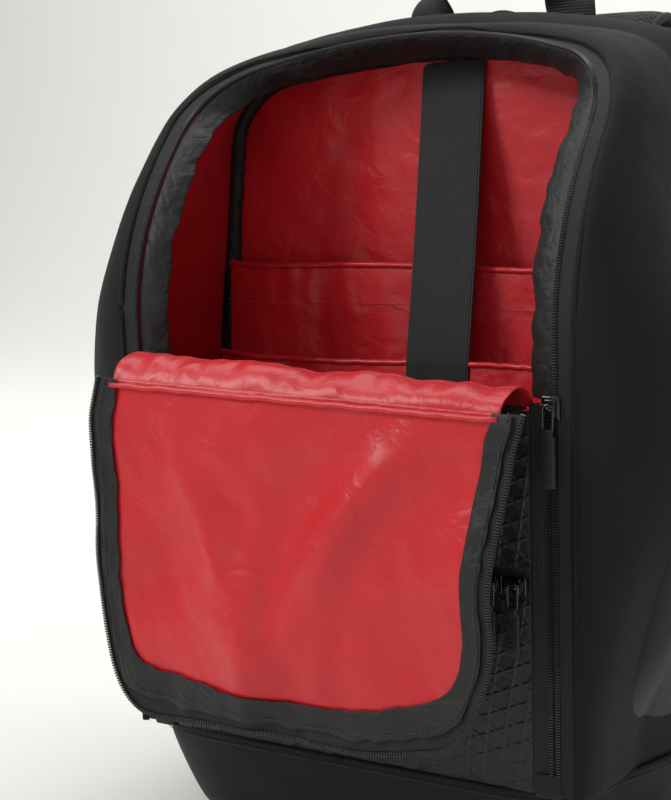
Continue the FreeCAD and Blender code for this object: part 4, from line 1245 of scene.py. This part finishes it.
@dataclass
class Inside:
    """Linings, pockets and the retaining strap. Millimetres."""

    inset: float = 5.6
    wall_y: float = 44.5
    floor_z: float = 13.0
    floor_y: float = -12.0

    def outline(self, inset: float, y: float, pitch: float = 5.0) -> list[Vector]:
        """Where the lined gusset meets a plane across the bag.

        Args:
            inset: Distance inside the outer skin.
            y: The plane.
            pitch: Distance between points along the zipper.

        Returns:
            Points from the right foot over the crown to the left foot.
        """
        made = []
        for p, n in FORM.zip.path(FORM.base + 1, pitch):
            low, high = 0.0, 1.0
            for _ in range(16):
                k = (low + high) / 2
                low, high = (k, high) if FORM.gusset(p, n, k, inset).y < y else (low, k)
            spot = FORM.gusset(p, n, low, inset)
            made.append(Vector((spot.x, y, spot.z)))
        return made

    def walls(self) -> None:
        """Red lining of the gusset and the back wall, slack and creased."""
        rows = []
        for p, n in FORM.zip.path(FORM.base + 6, 5.0):
            row = []
            for j in range(19):
                k = mix(0.05, 0.93, j / 18)
                spot = FORM.gusset(p, n, k, self.inset + 0.6)
                if spot.y > self.wall_y:
                    spot.y = self.wall_y
                inner = FORM.gusset(p, n, k, self.inset + 1)
                away = (inner - spot).normalized()
                slack = 1.2 + 1.2 * ripple(spot.z + spot.x * 0.7, spot.y * 0.4, 20.0, 21)
                slack += 1.3 * ripple(spot.z * 0.5, spot.y, 38.0, 22)
                row.append(spot + away * slack * min(k * 8, 1))
            rows.append(row)
        piece = surface("lining_walls", rows, LINING, 0.8)
        place(piece, "bag", "red_lining", "lining_left", "lining_right", "lining_top")
        declare_sheet()
        edge = self.outline(self.inset + 1.0, self.wall_y)
        half = edge[: len(edge) // 2]
        rows = []
        for p in half:
            row = []
            for j in range(49):
                x = p.x * (1 - 2 * j / 48)
                drape = 2.0 * ripple(x, p.z * 0.45, 26.0, 23) + 1.2 * ripple(x * 0.8 + p.z * 0.5, p.z, 13.0,
                                                                             24)
                room = min((p.x - abs(x)) / 12, 1)
                row.append(Vector((x, self.wall_y - 1.2 - (1.6 + drape) * room, p.z)))
            rows.append(row)
        piece = surface("lining_back_wall_cloth", rows, LINING, 0.8, flip=True)
        place(piece, "bag", "red_lining", "lining_back_wall")
        declare_sheet()

    def binding(self) -> None:
        """Black tape bound over the seam round the back wall, puckered."""
        rows = []
        edge = self.outline(self.inset + 1.5, self.wall_y - 4, 3.0)
        count = len(edge)
        for i, p in enumerate(edge):
            before, after = edge[max(i - 1, 0)], edge[min(i + 1, count - 1)]
            along = (after - before).normalized()
            inward = Vector((-along.z, 0, along.x))
            if inward.dot(Vector((p.x, 0, p.z - 240))) > 0:
                inward.negate()
            row = []
            for j in range(7):
                a = math.pi * j / 6
                wave = 0.8 * ripple(i * 3.0, j, 6.0, 25) + 0.9 * ripple(i * 3.0, j, 15.0, 26)
                row.append(p + inward * (3.4 - 6.2 * math.cos(a) * 0.8 + wave) + Y * (1.5 - 4.6 * math.sin(a)))
            rows.append(row)
        place(surface("wall_seam_binding", rows, FACING, 0.8), "bag", "black_lining", "back_seam_binding")

    def pocket(self, name: str, half: float, low: float, high: float, y: float, sag: float, bulge: float,
               seed: float, node: str) -> None:
        """Pocket sewn across the bag: a slack sheet with a turned hem along its top.

        Args:
            name: The piece's name.
            half: Half width.
            low: Foot.
            high: Top edge.
            y: Plane of the sheet's sewn sides.
            sag: Depth of the top edge's dips.
            bulge: How far the middle stands towards the opening.
            seed: Number that sets the creases apart.
            node: The node it replaces.
        """
        rows = []
        for i in range(40):
            t = i / 39
            row = []
            for j in range(71):
                x = mix(-half, half, j / 70)
                edge = min((half - abs(x)) / 26, 1)
                z = mix(low, high, t) - sag * step(0.6, 1, t) * (0.5 + 0.5 * math.sin(x / 31 + seed)) * edge
                fold = 2.6 * ripple(x, t * 40, 20.0, seed) + 1.2 * ripple(x * 1.1, t * 60, 8.0, seed + 1)
                out = bulge * edge * (0.35 + 0.65 * math.sin(math.pi * min(t * 0.75, 1)))
                row.append(Vector((x, y - out - fold * edge * (0.4 + 0.6 * t), z)))
            rows.append(row)
        piece = surface(name, rows, LINING, 1.0, offset=0.0)
        place(piece, "bag", "red_lining", node)
        declare_sheet()
        hem = [p + Vector((0, -0.4, 0.2 + 0.5 * ripple(p.x, 0, 5.0, seed + 2))) for p in rows[-1]]
        place(tube(name + "_hem", hem, 1.7, LINING, sides=8), "bag", "red_lining")
        sewn = [(p + Vector((0, -1.1, -9)), -Y) for p in rows[-3]]
        place(STITCH.run(name + "_stitches", [sewn], RED_THREAD), "bag", "red_lining")

    def pockets(self) -> None:
        """Laptop sleeve behind, organizer pocket in front."""
        self.pocket("laptop_sleeve_cloth", 137.0, 62.0, 304.0, 29.0, 2.0, 5.0, 31.0, "laptop_sleeve")
        self.pocket("organizer_cloth", 131.5, 62.0, 252.5, 10.0, 2.0, 9.0, 35.0, "organizer_pocket")

    def strap(self) -> None:
        """Retaining webbing with its sewn foot."""
        points = [Vector((14, 1.5, 228)), Vector((14, 0.0, 246)), Vector((14, 1.2, 262)),
                  Vector((12, 11.5, 305)),
                  Vector((8, 26.5, 365)), Vector((4, 40.0, 417))]
        path = spline(points, 44)
        place(ribbon("retaining_strap", path, [X] * 44, [38.0] * 44, 1.8, WEBBING, 9), "bag", "webbing",
              "laptop_strap")
        rows = [[(Vector((14 + x, -0.6, z)), -Y) for x in (-16, 16)] for z in (251, 248.6, 233)]
        rows += [[(Vector((14 + x, -0.6, 233)), -Y), (Vector((14 + x, -0.6, 250)), -Y)] for x in (-16, 16)]
        place(STITCH.run("retaining_strap_stitches", rows, THREAD), "bag", "webbing")

    def floor(self) -> None:
        """Lining on the base, and finishes for the hidden board, frame sheet and divider."""
        edge = SHELL_PARTS.base_ring(self.floor_z, 12.0, 72)
        middle = Vector((0, self.floor_y, self.floor_z))
        rows = []
        for i in range(12):
            share = mix(1.0, 0.02, i / 11)
            ring = [middle + (p - middle) * share for p in edge]
            rows.append([p + Z * 1.2 * ripple(p.x, p.y, 24.0, 41) * (1 - share**4) for p in ring])
        place(surface("base_lining_cloth", rows, LINING, 0.8, ring=True), "bag", "red_lining", "base_lining")
        for node, finish in (("base_board", SHEET), ("frame_sheet", SHEET), ("divider_panel", PANEL)):
            dress(node, finish)


# ---------------------------------------------------------------- lower front


@dataclass
class LowerFront:
    """Embossed front pocket, its zipper and the pouch behind it. Millimetres."""

    half: float = 104.6
    zip_z: float = 158.0
    zip_left: float = -88.0
    zip_right: float = 103.0

    def panels(self) -> None:
        """Panel above and below the pocket's zipper, the lower one slightly filled."""
        def sheet(name: str, low: float, high: float, swell: float, *nodes: str) -> None:
            rows = []
            for i in range(30):
                t = i / 29
                z = mix(low, high, t)
                row = []
                for j in range(50):
                    x = mix(-self.half, self.half, j / 49)
                    edge = min((self.half - abs(x)) / 22, 1) * min(t * 5, (1 - t) * 5, 1)
                    out = 1.0 + swell * step(0, 1, edge) + 0.8 * ripple(x, z, 24.0, 51) * edge
                    row.append(FORM.on_front(x, z, out))
                rows.append(row)
            place(surface(name, rows, EMBOSSED, 2.2), "bag", "coated_fabric", *nodes)

        sheet("front_pocket_lower", FORM.base + 0.6, self.zip_z - 6.5, 2.4, "front_panel",
              "front_pocket_pouch")
        sheet("front_pocket_upper", self.zip_z + 6.5, FORM.fold - 0.6, 1.2)
        pouch = []
        for i in range(20):
            z = mix(FORM.base + 20, self.zip_z + 12, i / 19)
            pouch.append([FORM.on_front(x, z, -6.5 - 0.8 * ripple(x, z, 18.0, 52))
                          for x in (mix(-96, 96, j / 30) for j in range(31))])
        place(surface("front_pocket_lining", pouch, FACING, 0.8), "bag", "black_lining")
        cover = []
        for i in range(24):
            z = mix(FORM.base + 2, FORM.fold + 1, i / 23)
            cover.append([FORM.on_front(x, z, -10.5 - 1.4 * ripple(x, z, 30.0, 53))
                          for x in (mix(-104, 104, j / 30) for j in range(31))])
        place(surface("front_inner_lining", cover, LINING, 0.8, flip=True), "bag", "red_lining")

    def zipper(self) -> None:
        """Pocket zipper: two tapes, two rows of teeth and their stitches."""
        for number, sign in enumerate((1, -1)):
            rows = []
            for e in (2.4, 4.2, 6.0, 7.6):
                rows.append([FORM.on_front(mix(-104, 104, j / 60), self.zip_z + sign * e, 0.5)
                             for j in range(61)])
            piece = surface(f"pocket_tape_{number + 1}", rows, TAPE, 1.0, flip=sign < 0)
            place(piece, "bag", "zip_tape", *(["pocket_zip_tapes"] if number else []))
        teeth = [[(FORM.on_front(mix(self.zip_left, self.zip_right, j / 40), self.zip_z + e, 0.9), -Y)
                  for j in range(41)] for e in (1.25, -1.25)]
        place(TEETH.run("pocket_teeth", teeth, COIL), "bag", "zip_coil", "pocket_zip_coils")
        rows = [[(FORM.on_front(mix(-103, 103, j / 40), self.zip_z + e, 3.0), -Y) for j in range(41)]
                for e in (9.0, -9.0)]
        place(STITCH.run("pocket_stitches", rows, THREAD), "bag", "coated_fabric")


# ---------------------------------------------------------------- the folded-down flap


@dataclass
class Flap:
    """Unzipped front flap hanging over the lower front, with the roll of cloth at its fold."""

    start_z: float = 283.0
    half: float = 114.2
    foot_half: float = 107.0
    corner: float = 39.2
    rise: float = 52.2
    spring: float = 374.0
    hinge: tuple = ((0, -124, 250), (0, -124, 232))

    def depth(self, z: float) -> float:
        """Length along the front face from the flap's start up to height z."""
        slope = 2 * FORM.setback / (FORM.top - FORM.bend) ** 2
        u, u0 = slope * (z - FORM.bend), slope * (self.start_z - FORM.bend)

        def run(v: float) -> float:
            return 0.5 * (v * math.hypot(1, v) + math.asinh(v)) / slope

        return run(u) - run(u0)

    def hang(self, x: float, z: float, out: float = 0.0) -> Vector:
        """Place of a point of the flap as it hangs open.

        Args:
            x: Across the flap.
            z: Height of the point when the flap is zipped shut.
            out: Distance towards the viewer, on the lining's side.

        Returns:
            The point.
        """
        t = self.depth(z)
        full = self.depth(FORM.top)
        share = t / full
        drop = t - 11.0 * share**3 * math.exp(-((x / 62) ** 2)) + 27.0 * share**3 * math.exp(-(((x + 99) / 30) ** 2))
        drop += 7.0 * share**3 * math.exp(-(((x - 90) / 22) ** 2))
        shift = (-4.0 + 1.5 * share) * step(-0.05, 0.12, share) - 2.0 * math.sin(math.pi * min(share, 1))
        widen = mix(1.1, 0.96, step(0.0, 0.5, share)) + 0.02 * step(0.6, 1.0, share)
        lean = 1 if x < 0 else 0.6
        y = -124.5 - 4.0 * math.sin(math.pi * min(share * 1.05, 1)) - 1.0 * share
        z_open = 248.0 - 1.01 * drop + mix(2.0, -4.0, (x + 110) / 220) * (1 - share)
        crease = 7.0 * ripple(x * 0.8 + t * 0.4, t * 0.7 - x * 0.2, 44.0, 61)
        crease += 1.6 * ripple(x - t * 0.3, t * 0.5, 15.0, 62)
        crease += 7.5 * math.exp(-(((x - 62 + 95 * share) / 15) ** 2)) * step(0.0, 0.25, share) * step(0.95,
                                                                                                       0.5,
                                                                                                       share)
        crease += 6.0 * math.exp(-(((x + 66 - 60 * share) / 16) ** 2)) * step(0.1, 0.4, share) * step(1.0,
                                                                                                      0.6,
                                                                                                      share)
        fold = 3.0 * math.exp(-(((x - 44 + t * 0.18) / 7.0) ** 2)) * step(0.25, 0.6, share)
        fold += 3.4 * math.exp(-(((x + 4 + t * 0.12) / 8.0) ** 2)) * step(0.15, 0.5, share) * step(1.2, 0.7,
                                                                                                   share)
        body = min(share * 6, 1)
        y -= (crease + fold * lean) * body
        return Vector((x * widen + shift, y - out, z_open))

    def edge(self, inset: float, pitch: float = 3.0) -> list[tuple[float, float, float, float]]:
        """Outline of the zipped-shut flap with its outward direction, from the right fold end round."""
        arch = Arch(self.half, self.corner, self.rise)
        made = []
        for p, n in arch.path(self.start_z, pitch, inset):
            narrow = 1.0
            if p.z < arch.spring:
                narrow = mix(self.foot_half / self.half, 1.0, step(self.start_z, arch.spring, p.z))
            made.append((p.x * narrow, p.z, n.x, n.z))
        return made

    def band(self, low: float, high: float, out: float, count: int, pucker: float, seed: float) -> Rows:
        """Rows of a band along the flap's edge.

        Args:
            low: Outer inset.
            high: Inner inset.
            out: Distance towards the viewer.
            count: Points across.
            pucker: Height of the gathers.
            seed: Number that sets the gathers apart.

        Returns:
            Rows of points.
        """
        rows = []
        outer, inner = self.edge(low, 3.0), self.edge(high, 3.0)
        size = min(len(outer), len(inner))
        for i in range(size):
            a = outer[round(i * (len(outer) - 1) / (size - 1))]
            b = inner[round(i * (len(inner) - 1) / (size - 1))]
            row = []
            for j in range(count):
                k = j / (count - 1)
                wave = pucker * (ripple(i * 3.0, k * 5, 6.0, seed) + 0.8 * ripple(i * 3.0, k * 5, 14.0,
                                                                                  seed + 1))
                x, z = mix(a[0], b[0], k), mix(a[1], b[1], k)
                row.append(self.hang(x + wave * a[2], z + wave * a[3], out + wave * 0.9))
            rows.append(row)
        return rows

    def sheet(self, inset: float, out: float, late: float = 0.0) -> Rows:
        """Rows of the flap's face inside its edge.

        Args:
            inset: Distance inside the edge.
            out: Distance towards the viewer.
            late: How far below the flap's start the rows begin.

        Returns:
            Rows of points from the fold down.
        """
        ring = self.edge(inset, 2.0)
        half = [p for p in ring if p[0] >= 0]
        top_at = []
        columns = 33
        for j in range(columns):
            x = math.sin(math.pi / 2 * j / (columns - 1)) * half[0][0] if j < columns - 1 else half[0][0]
            nearest = min((p for p in half if p[1] >= self.spring), key=lambda p: abs(p[0] - x))
            top_at.append((x, nearest[1] if x < self.half - inset - 0.4 else self.spring))
        top_at = [(-x, z) for x, z in top_at[::-1][:-1]] + top_at
        widest = max(x for x, _ in top_at)
        foot, full = (self.foot_half - inset) / widest, (self.half - inset) / widest
        rows = []
        for i in range(46):
            k = i / 45
            row = []
            for x, top in top_at:
                z = mix(self.start_z + late, top, k)
                widen = mix(foot, full, step(self.start_z, self.spring, z)) if z < self.spring else full
                row.append(self.hang(x * widen, z, out))
            rows.append(row)
        return rows

    def roll(self, radius_y: float, radius_z: float, low: float, high: float, half: float,
             lining: bool) -> Rows:
        """Rows over the fold's roll from angle low to high.

        Args:
            radius_y: Radius of the roll front to back.
            radius_z: Radius of the roll upwards.
            low: First angle in degrees, 0 at the bag.
            high: Last angle in degrees, 180 at the flap.
            half: Half width.
            lining: Whether the wrinkles of the lining run over it.

        Returns:
            Rows of points.
        """
        rows = []
        for i in range(15):
            a = math.radians(mix(low, high, i / 14))
            row = []
            for j in range(81):
                x = mix(-half, half, j / 80)
                rise = mix(4.5, -3.5, (x + half) / (2 * half))
                crease = 0.0
                if lining:
                    crease = 1.7 * ripple(x, a * 9, 9.0, 71) + 2.3 * ripple(x * 0.9, a * 14, 22.0, 72)
                k = math.sin(a)
                spot = Vector((x - 2, -107 + radius_y * math.cos(a), 243 + (radius_z + rise + crease) * k))
                spot.y -= crease * 0.7 * k
                row.append(spot)
            rows.append(row)
        return rows

    def fold(self) -> None:
        """Roll of cloth at the fold: lining outside, shell cloth under it."""
        piece = surface("fold_lining_bag_side", self.roll(21.0, 14.5, 0, 90, 106.5, True), LINING, 0.9,
                        flip=True)
        bend(piece, "bag", "fold", (0, -89, 243), (0, -107, 243), "red_lining", "flap_fold")
        piece = surface("fold_lining_flap_side", self.roll(18.0, 14.5, 90, 178, 106.5, True), LINING, 0.9,
                        flip=True)
        bend(piece, "fold", "flap", *self.hinge, "red_lining")
        rows = [[Vector((x, mix(-90.5, -107, k), mix(242.5, 241.5, k))) for x in
                 (mix(-104, 104, j / 40) for j in range(41))] for k in (i / 8 for i in range(9))]
        bend(surface("fold_shell_bag_side", rows, SHELL, 1.6), "bag", "fold", (0, -90, 242), (0, -106, 242),
             "coated_fabric")
        rows = [[Vector((x, mix(-107, -123, k), mix(241.5, 238.5, k))) for x in
                 (mix(-104, 104, j / 40) for j in range(41))] for k in (i / 8 for i in range(9))]
        bend(surface("fold_shell_flap_side", rows, SHELL, 1.6), "fold", "flap", *self.hinge, "coated_fabric")

    def panel(self) -> None:
        """Flap's lining, shell, binding, tape and teeth."""
        ends = self.hinge
        rows = self.sheet(12.5, 0.3)
        lining = surface("flap_lining_cloth", rows, LINING, 0.9, offset=0)
        bend(lining, "fold", "flap", *ends, "red_lining", "flap_lining")
        declare_sheet()
        shell = surface("flap_shell_cloth", self.sheet(6.5, -2.6, 2.0), SHELL, 1.8, flip=True, offset=0)
        bend(shell, "fold", "flap", *ends, "coated_fabric", "flap_panel")
        piece = surface("flap_edge_binding", self.band(5.5, 15.5, 2.1, 9, 1.3, 81), FACING, 1.0, offset=0)
        bend(piece, "fold", "flap", *ends, "black_lining", "flap_binding")
        piece = surface("flap_tape", self.band(0.2, 9.0, 0.2, 6, 0.35, 84), TAPE, 1.0, offset=0)
        bend(piece, "fold", "flap", *ends, "zip_tape", "flap_zip_tape")
        path = [(self.hang(x, z, 1.2), -Y) for x, z, _, _ in self.edge(1.4, 3.0)]
        bend(TEETH.run("flap_teeth", [path], COIL), "fold", "flap", *ends, "zip_coil", "flap_zip_coil")
        seam = [(self.hang(x, z, 3.0), -Y) for x, z, _, _ in self.edge(7.5, 3.0)]
        bend(STITCH.run("flap_stitches", [seam], THREAD), "fold", "flap", *ends, "zip_tape")
        rows = []
        for i in range(3):
            rows.append([self.hang(mix(-97, 96, j / 60), 284 + i * 2.2, 2.0) for j in range(61)])
        seam = tube("flap_top_seam", [p + Vector((0, 0, 0.6 * ripple(p.x, 0, 10.0, 86))) for p in rows[1]],
                    1.5, LINING)
        bend(seam, "fold", "flap", *ends, "red_lining")


# ---------------------------------------------------------------- sliders and pulls


@dataclass
class ZipHardware:
    """Sliders and pulls of the three zippers. Millimetres."""

    bar: float = 5.6
    drop: float = 12.0

    def slider(self, name: str, spot: Matrix, level: bool = False) -> None:
        """Slider body: two plates, waist, and a bridge for the pull.

        Args:
            name: The node and body.
            spot: Place of the slider's middle, local -Y facing out and Z along the track.
            level: Whether the track runs across instead.
        """
        made = Hardware()
        wide, long = (11.0, 9.0) if level else (9.0, 11.0)
        for y in (-2.3, 2.3):
            made.block(Vector((wide, 1.5, long)), Vector((0, y, 0)), 0.7)
        if level:
            made.block(Vector((2.6, 4, 1)), Vector((3.4, 0, 0)), 0.3)
        else:
            made.block(Vector((1, 4, 2.6)), Vector((0, 0, 3.4)), 0.3)
        for x in (-2.8, 2.8):
            made.block(Vector((1.3, 4.4, 4.6)), Vector((x, -4.7, 0)), 0.55)
        made.rod([Vector((-3.2, -self.bar, 0)), Vector((3.2, -self.bar, 0))], 1.0)
        made.block(Vector((5.4, 1.0, 8.0)), Vector((0, -3.3, 0)), 0.45)
        place(made.finish(name + "_body", ENAMEL, spot), name, "slider_metal", name)

    def pull(self, name: str, spot: Matrix, length: float) -> None:
        """Metal link and the rubber tab moulded on it, with a small round dimple.

        Args:
            name: The node and body.
            spot: Place of the slider's middle.
            length: Length of the tab.
        """
        link = Hardware()
        top, foot = 1.9, -self.drop - 2
        path = []
        for k in range(24):
            a = math.tau * k / 24
            path.append(Vector((2.5 * math.cos(a), -self.bar - 0.9,
                                (top if math.sin(a) > 0 else 0) * math.sin(a)
                                + (foot if math.sin(a) < 0 else 0) * abs(math.sin(a)) ** 0.6)))
        link.rod(path, 0.75, 8, closed=True)
        place(link.finish(name + "_link", ENAMEL, spot), name, "slider_metal", name)
        tab = Hardware()
        tab.block(Vector((7.4, 2.7, length)), Vector((0, -self.bar - 0.9, -self.drop - length / 2)), 1.2)
        tab.block(Vector((5.2, 3.2, 5)), Vector((0, -self.bar - 0.9, -self.drop + 0.5)), 1.2)
        for k in range(3):
            tab.block(Vector((5.0, 3.2, 0.9)),
                      Vector((0, -self.bar - 0.9, -self.drop - length + 4 + 2.2 * k)), 0.3)
        ring = [Vector((1.5 * math.cos(a), -self.bar - 2.25, -self.drop - 6 + 1.5 * math.sin(a)))
                for a in (math.tau * k / 14 for k in range(14))]
        tab.rod(ring, 0.28, 6, closed=True)
        place(tab.finish(name + "_tab", RUBBER, spot), name, "pull_rubber")

    def build(self) -> None:
        """All five sliders with their pulls."""
        lean = Matrix.Rotation(math.atan(16 / 226), 4, "X")
        for side, x in (("right", 115.0), ("left", -115.0)):
            spot = Matrix.Translation(FORM.on_front(x, 244.0)) @ lean
            self.slider(f"main_slider_{side}", spot)
            self.pull(f"main_pull_{side}", spot, 25.0)
        for number, x in ((1, 84.4), (2, 96.6)):
            spot = Matrix.Translation(FORM.on_front(x, 158.0)) @ lean
            self.slider(f"pocket_slider_{number}", spot, level=True)
            self.pull(f"pocket_pull_{number}", spot, 21.0)
        side = Matrix.Translation(Vector((153.2, 68.75, 340))) @ Matrix.Rotation(math.pi / 2, 4, "Z")
        self.slider("racket_slider", side)
        self.pull("racket_pull", side, 25.0)


# ---------------------------------------------------------------- side pockets, handle and trim


@dataclass
class Trim:
    """Bottle pockets, haul handle, hang loop and sewn patches. Millimetres."""

    mouth: float = 190.0
    bulge: float = 16.0

    def pocket_row(self, z: float, full: float, extra: float, sign: int) -> list[Vector]:
        """Points across a bottle pocket at height z.

        Args:
            z: Height.
            full: Share of the bulge there.
            extra: Distance outside the pocket's face.
            sign: 1 for the right pocket and -1 for the left.

        Returns:
            Points from the front seam to the rear seam.
        """
        row = []
        for j in range(25):
            t = j / 24
            skin = FORM.gusset(Vector((FORM.zip.half, 0, z)), X, mix(0.44, 0.985, t))
            hump = math.sin(math.pi * t) ** 0.7
            gather = 0.7 * ripple(t * 120, z * 0.15, 5.0, 91) * step(self.mouth - 50, self.mouth, z)
            out = 2.2 + self.bulge * full * hump + gather + 0.9 * ripple(t * 120, z, 26.0, 92) * hump + extra
            row.append(Vector((sign * (skin.x + out), skin.y, z)))
        return row

    def bottle_pockets(self) -> None:
        """Stretch pockets with an elastic mouth."""
        for side, sign in (("right", 1), ("left", -1)):
            rows = []
            for i in range(26):
                t = i / 25
                rows.append(self.pocket_row(mix(61, self.mouth, t), step(0, 0.55, t) * (1 - 0.1 * t), 0,
                                            sign))
            place(surface(f"bottle_pocket_{side}_knit", rows, KNIT, 1.6, flip=sign < 0), "bag",
                  "pocket_stretch",
                  f"bottle_pocket_{side}")
            rows = [self.pocket_row(self.mouth - 1 + 2 * i, 0.9, 0.7, sign) for i in range(6)]
            nodes = ["pocket_elastics"] if sign > 0 else []
            place(surface(f"pocket_elastic_{side}", rows, ELASTIC, 2.2, flip=sign < 0), "bag", "elastic",
                  *nodes)
            seam = [(p + X * sign * 1.6, X * sign) for p in self.pocket_row(self.mouth + 1, 0.9, 0.5, sign)]
            place(STITCH.run(f"pocket_elastic_{side}_stitches", [seam], THREAD), "bag", "elastic")

    def handle(self) -> None:
        """Haul handle: webbing that twists from its flat feet into a padded grip."""
        y = 112.0
        right = [Vector((45, y, 414)), Vector((45, y, 432)), Vector((44.5, y, 446)), Vector((42, y, 462)),
                 Vector((35, y, 480)), Vector((18, y, 489)), Vector((0, y, 491))]
        points = right + [Vector((-p.x, p.y, p.z)) for p in right[-2::-1]]
        path = spline(points, 90)
        across, widths = [], []
        for i in range(90):
            t = abs(2 * i / 89 - 1)
            turned = step(0.62, 0.34, t)
            twist = math.radians(88) * turned
            across.append(Vector((math.cos(twist) if i < 45 else -math.cos(twist), math.sin(twist), 0)))
            widths.append(mix(30.0, 24.0, turned))
        piece = ribbon("haul_handle_webbing", path, across, widths, 2.4, WEBBING_CROSS, 9)
        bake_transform(piece, "bag", "haul_handle", start=(0, 0.112, 0.438), end=(0, 0.112, 0.450))
        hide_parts("haul_handle")
        log.info("haul_handle_webbing between bag and haul_handle")
        grip = path[30:60]
        place(tube("haul_handle_grip", grip, 11.5, SHELL, 20, 0.42, Z), "haul_handle", "coated_fabric")
        loop = [Vector((24 * math.cos(a), 121.0, 427 + 25 * math.sin(a)))
                for a in (math.pi * k / 30 for k in range(31))]
        loop = [Vector((23, 121, 408)), *loop, Vector((-23, 121, 408))]
        place(ribbon("hang_loop_webbing", loop, [Y] * 33, [19.0] * 33, 1.8, WEBBING), "bag", "webbing",
              "hang_loop")

    def patches(self) -> None:
        """Padded patches that the handle, the straps and their tails are sewn under."""
        nodes = ["sewn_patches"]
        for side, sign in (("right", 1), ("left", -1)):
            for label, x, z, wide, high, out in (("strap", 60, 399, 46, 25, 5.0),
                                                 ("tail", 124, 68, 28, 23, 4.6)):
                rows = []
                for i in range(9):
                    t = i / 8
                    raised = out * min(1, 8 * t * (1 - t))
                    rows.append([Vector((sign * x + mix(-wide / 2, wide / 2, j / 10),
                                         109.2 + raised * min(1, 6 * j / 10 * (1 - j / 10) + 0.2),
                                         z + mix(-high / 2, high / 2, t))) for j in range(11)])
                piece = surface(f"sewn_patch_{label}_{side}", rows, SHELL, 1.6, flip=True)
                place(piece, "bag", "coated_fabric", *nodes)
                nodes = []
                box = [(-0.42, -0.36), (0.42, -0.36), (0.42, 0.36), (-0.42, 0.36), (-0.42, -0.36),
                       (0.42, 0.36)]
                seam = [(Vector((sign * x + a * wide, 110.2 + out, z + b * high)), Y.copy()) for a, b in box]
                place(STITCH.run(f"sewn_patch_{label}_{side}_stitches", [seam], THREAD), "bag", "webbing")


# ---------------------------------------------------------------- light, floor and camera


@dataclass
class Studio:
    """Plain pale sweep, soft lights and the camera."""

    azimuth: float = 29.32
    elevation: float = 6.52
    distance: float = 0.910
    target: Vector = Vector((-0.0743, 0.0455, 0.2233))
    lens: float = 68.95

    def sweep(self) -> None:
        """Pale floor that curves up behind the bag."""
        rows = []
        profile = [(-9.0, 0.0), (-1.0, 0.0), (1.5, 0.0), (2.2, 0.0), (2.8, 0.12), (3.2, 0.5), (3.4, 1.2),
                   (3.45, 5.0)]
        for y, z in profile:
            rows.append([Vector((x, y, z)) / MM for x in (-9.0, -2.0, 0.0, 2.0, 9.0)])
        made = bpy.data.materials.new("matt_paper_sweep")
        made.use_nodes = True
        shader = made.node_tree.nodes["Principled BSDF"]
        shader.inputs["Base Color"].default_value = hex_colour("f2f1ed")
        shader.inputs["Roughness"].default_value = 0.9
        grain = add_node(made.node_tree, "ShaderNodeTexNoise", {"Scale": 900.0})
        bump = add_node(made.node_tree, "ShaderNodeBump", {"Strength": 0.05, "Distance": 0.0002},
                        {"Height": grain.outputs["Fac"]})
        made.node_tree.links.new(bump.outputs[0], shader.inputs["Normal"])
        piece = surface("sweep", rows, SHELL, levels=2)
        piece.data.materials.clear()
        piece.data.materials.append(made)

    def light(self, name: str, spot: Vector, aim: Vector, size: float, power: float) -> None:
        """Soft square light.

        Args:
            name: The light's name.
            spot: Where it stands, in metres.
            aim: What it points at.
            size: Its side.
            power: Its power in watts.
        """
        lamp = bpy.data.lights.new(name, "AREA")
        lamp.size, lamp.energy = size, power
        made = add_object(name, lamp)
        made.location = spot
        made.rotation_euler = (aim - spot).to_track_quat("-Z", "Y").to_euler()

    def build(self) -> None:
        """World, lights, floor and camera."""
        scene = bpy.context.scene
        scene.view_settings.view_transform = "Standard"
        world = bpy.data.worlds.new("studio")
        world.use_nodes = True
        world.node_tree.nodes["Background"].inputs["Color"].default_value = hex_colour("f2f2f0")
        world.node_tree.nodes["Background"].inputs["Strength"].default_value = 0.33
        scene.world = world
        self.sweep()
        middle = Vector((0, 0, 0.25))
        self.light("key", Vector((-1.5, -1.9, 2.1)), middle, 1.0, 42)
        self.light("front", Vector((0.6, -2.6, 1.2)), middle, 1.6, 7)
        self.light("top", Vector((0.1, 0.2, 2.6)), middle, 2.0, 9)
        self.light("rim", Vector((1.9, 0.9, 1.5)), middle, 1.0, 5)
        self.light("backdrop", Vector((-0.9, 0.9, 2.8)), Vector((-1.8, 3.0, 0.4)), 2.6, 62)
        a, e = math.radians(self.azimuth), math.radians(self.elevation)
        back = Vector((math.sin(a) * math.cos(e), -math.cos(a) * math.cos(e), math.sin(e)))
        lens = bpy.data.cameras.new("camera")
        lens.lens, lens.sensor_width, lens.sensor_fit = self.lens, 36.0, "AUTO"
        lens.clip_start, lens.clip_end = 0.01, 50
        camera = add_object("camera", lens)
        camera.location = self.target + back * self.distance
        camera.rotation_euler = (-back).to_track_quat("-Z", "Y").to_euler()
        scene.camera = camera


def main() -> None:
    """Builds the classes in order."""
    Studio().build()
    SHELL_PARTS.gusset()
    SHELL_PARTS.base()
    SHELL_PARTS.rear()
    SHELL_PARTS.back()
    opening = Opening()
    opening.tape()
    opening.lip()
    opening.facing()
    opening.closed_zip()
    inside = Inside()
    inside.walls()
    inside.binding()
    inside.pockets()
    inside.strap()
    inside.floor()
    front = LowerFront()
    front.panels()
    front.zipper()
    flap = Flap()
    flap.fold()
    flap.panel()
    ZipHardware().build()
    trim = Trim()
    trim.bottle_pockets()
    trim.handle()
    trim.patches()
    pads = Pads()
    pads.back_pads()
    pads.shoulder_straps()
    for side in ("left", "right"):
        dress(f"ladder_lock_{side}", ACETAL)


if __name__ == "__main__":
    main()
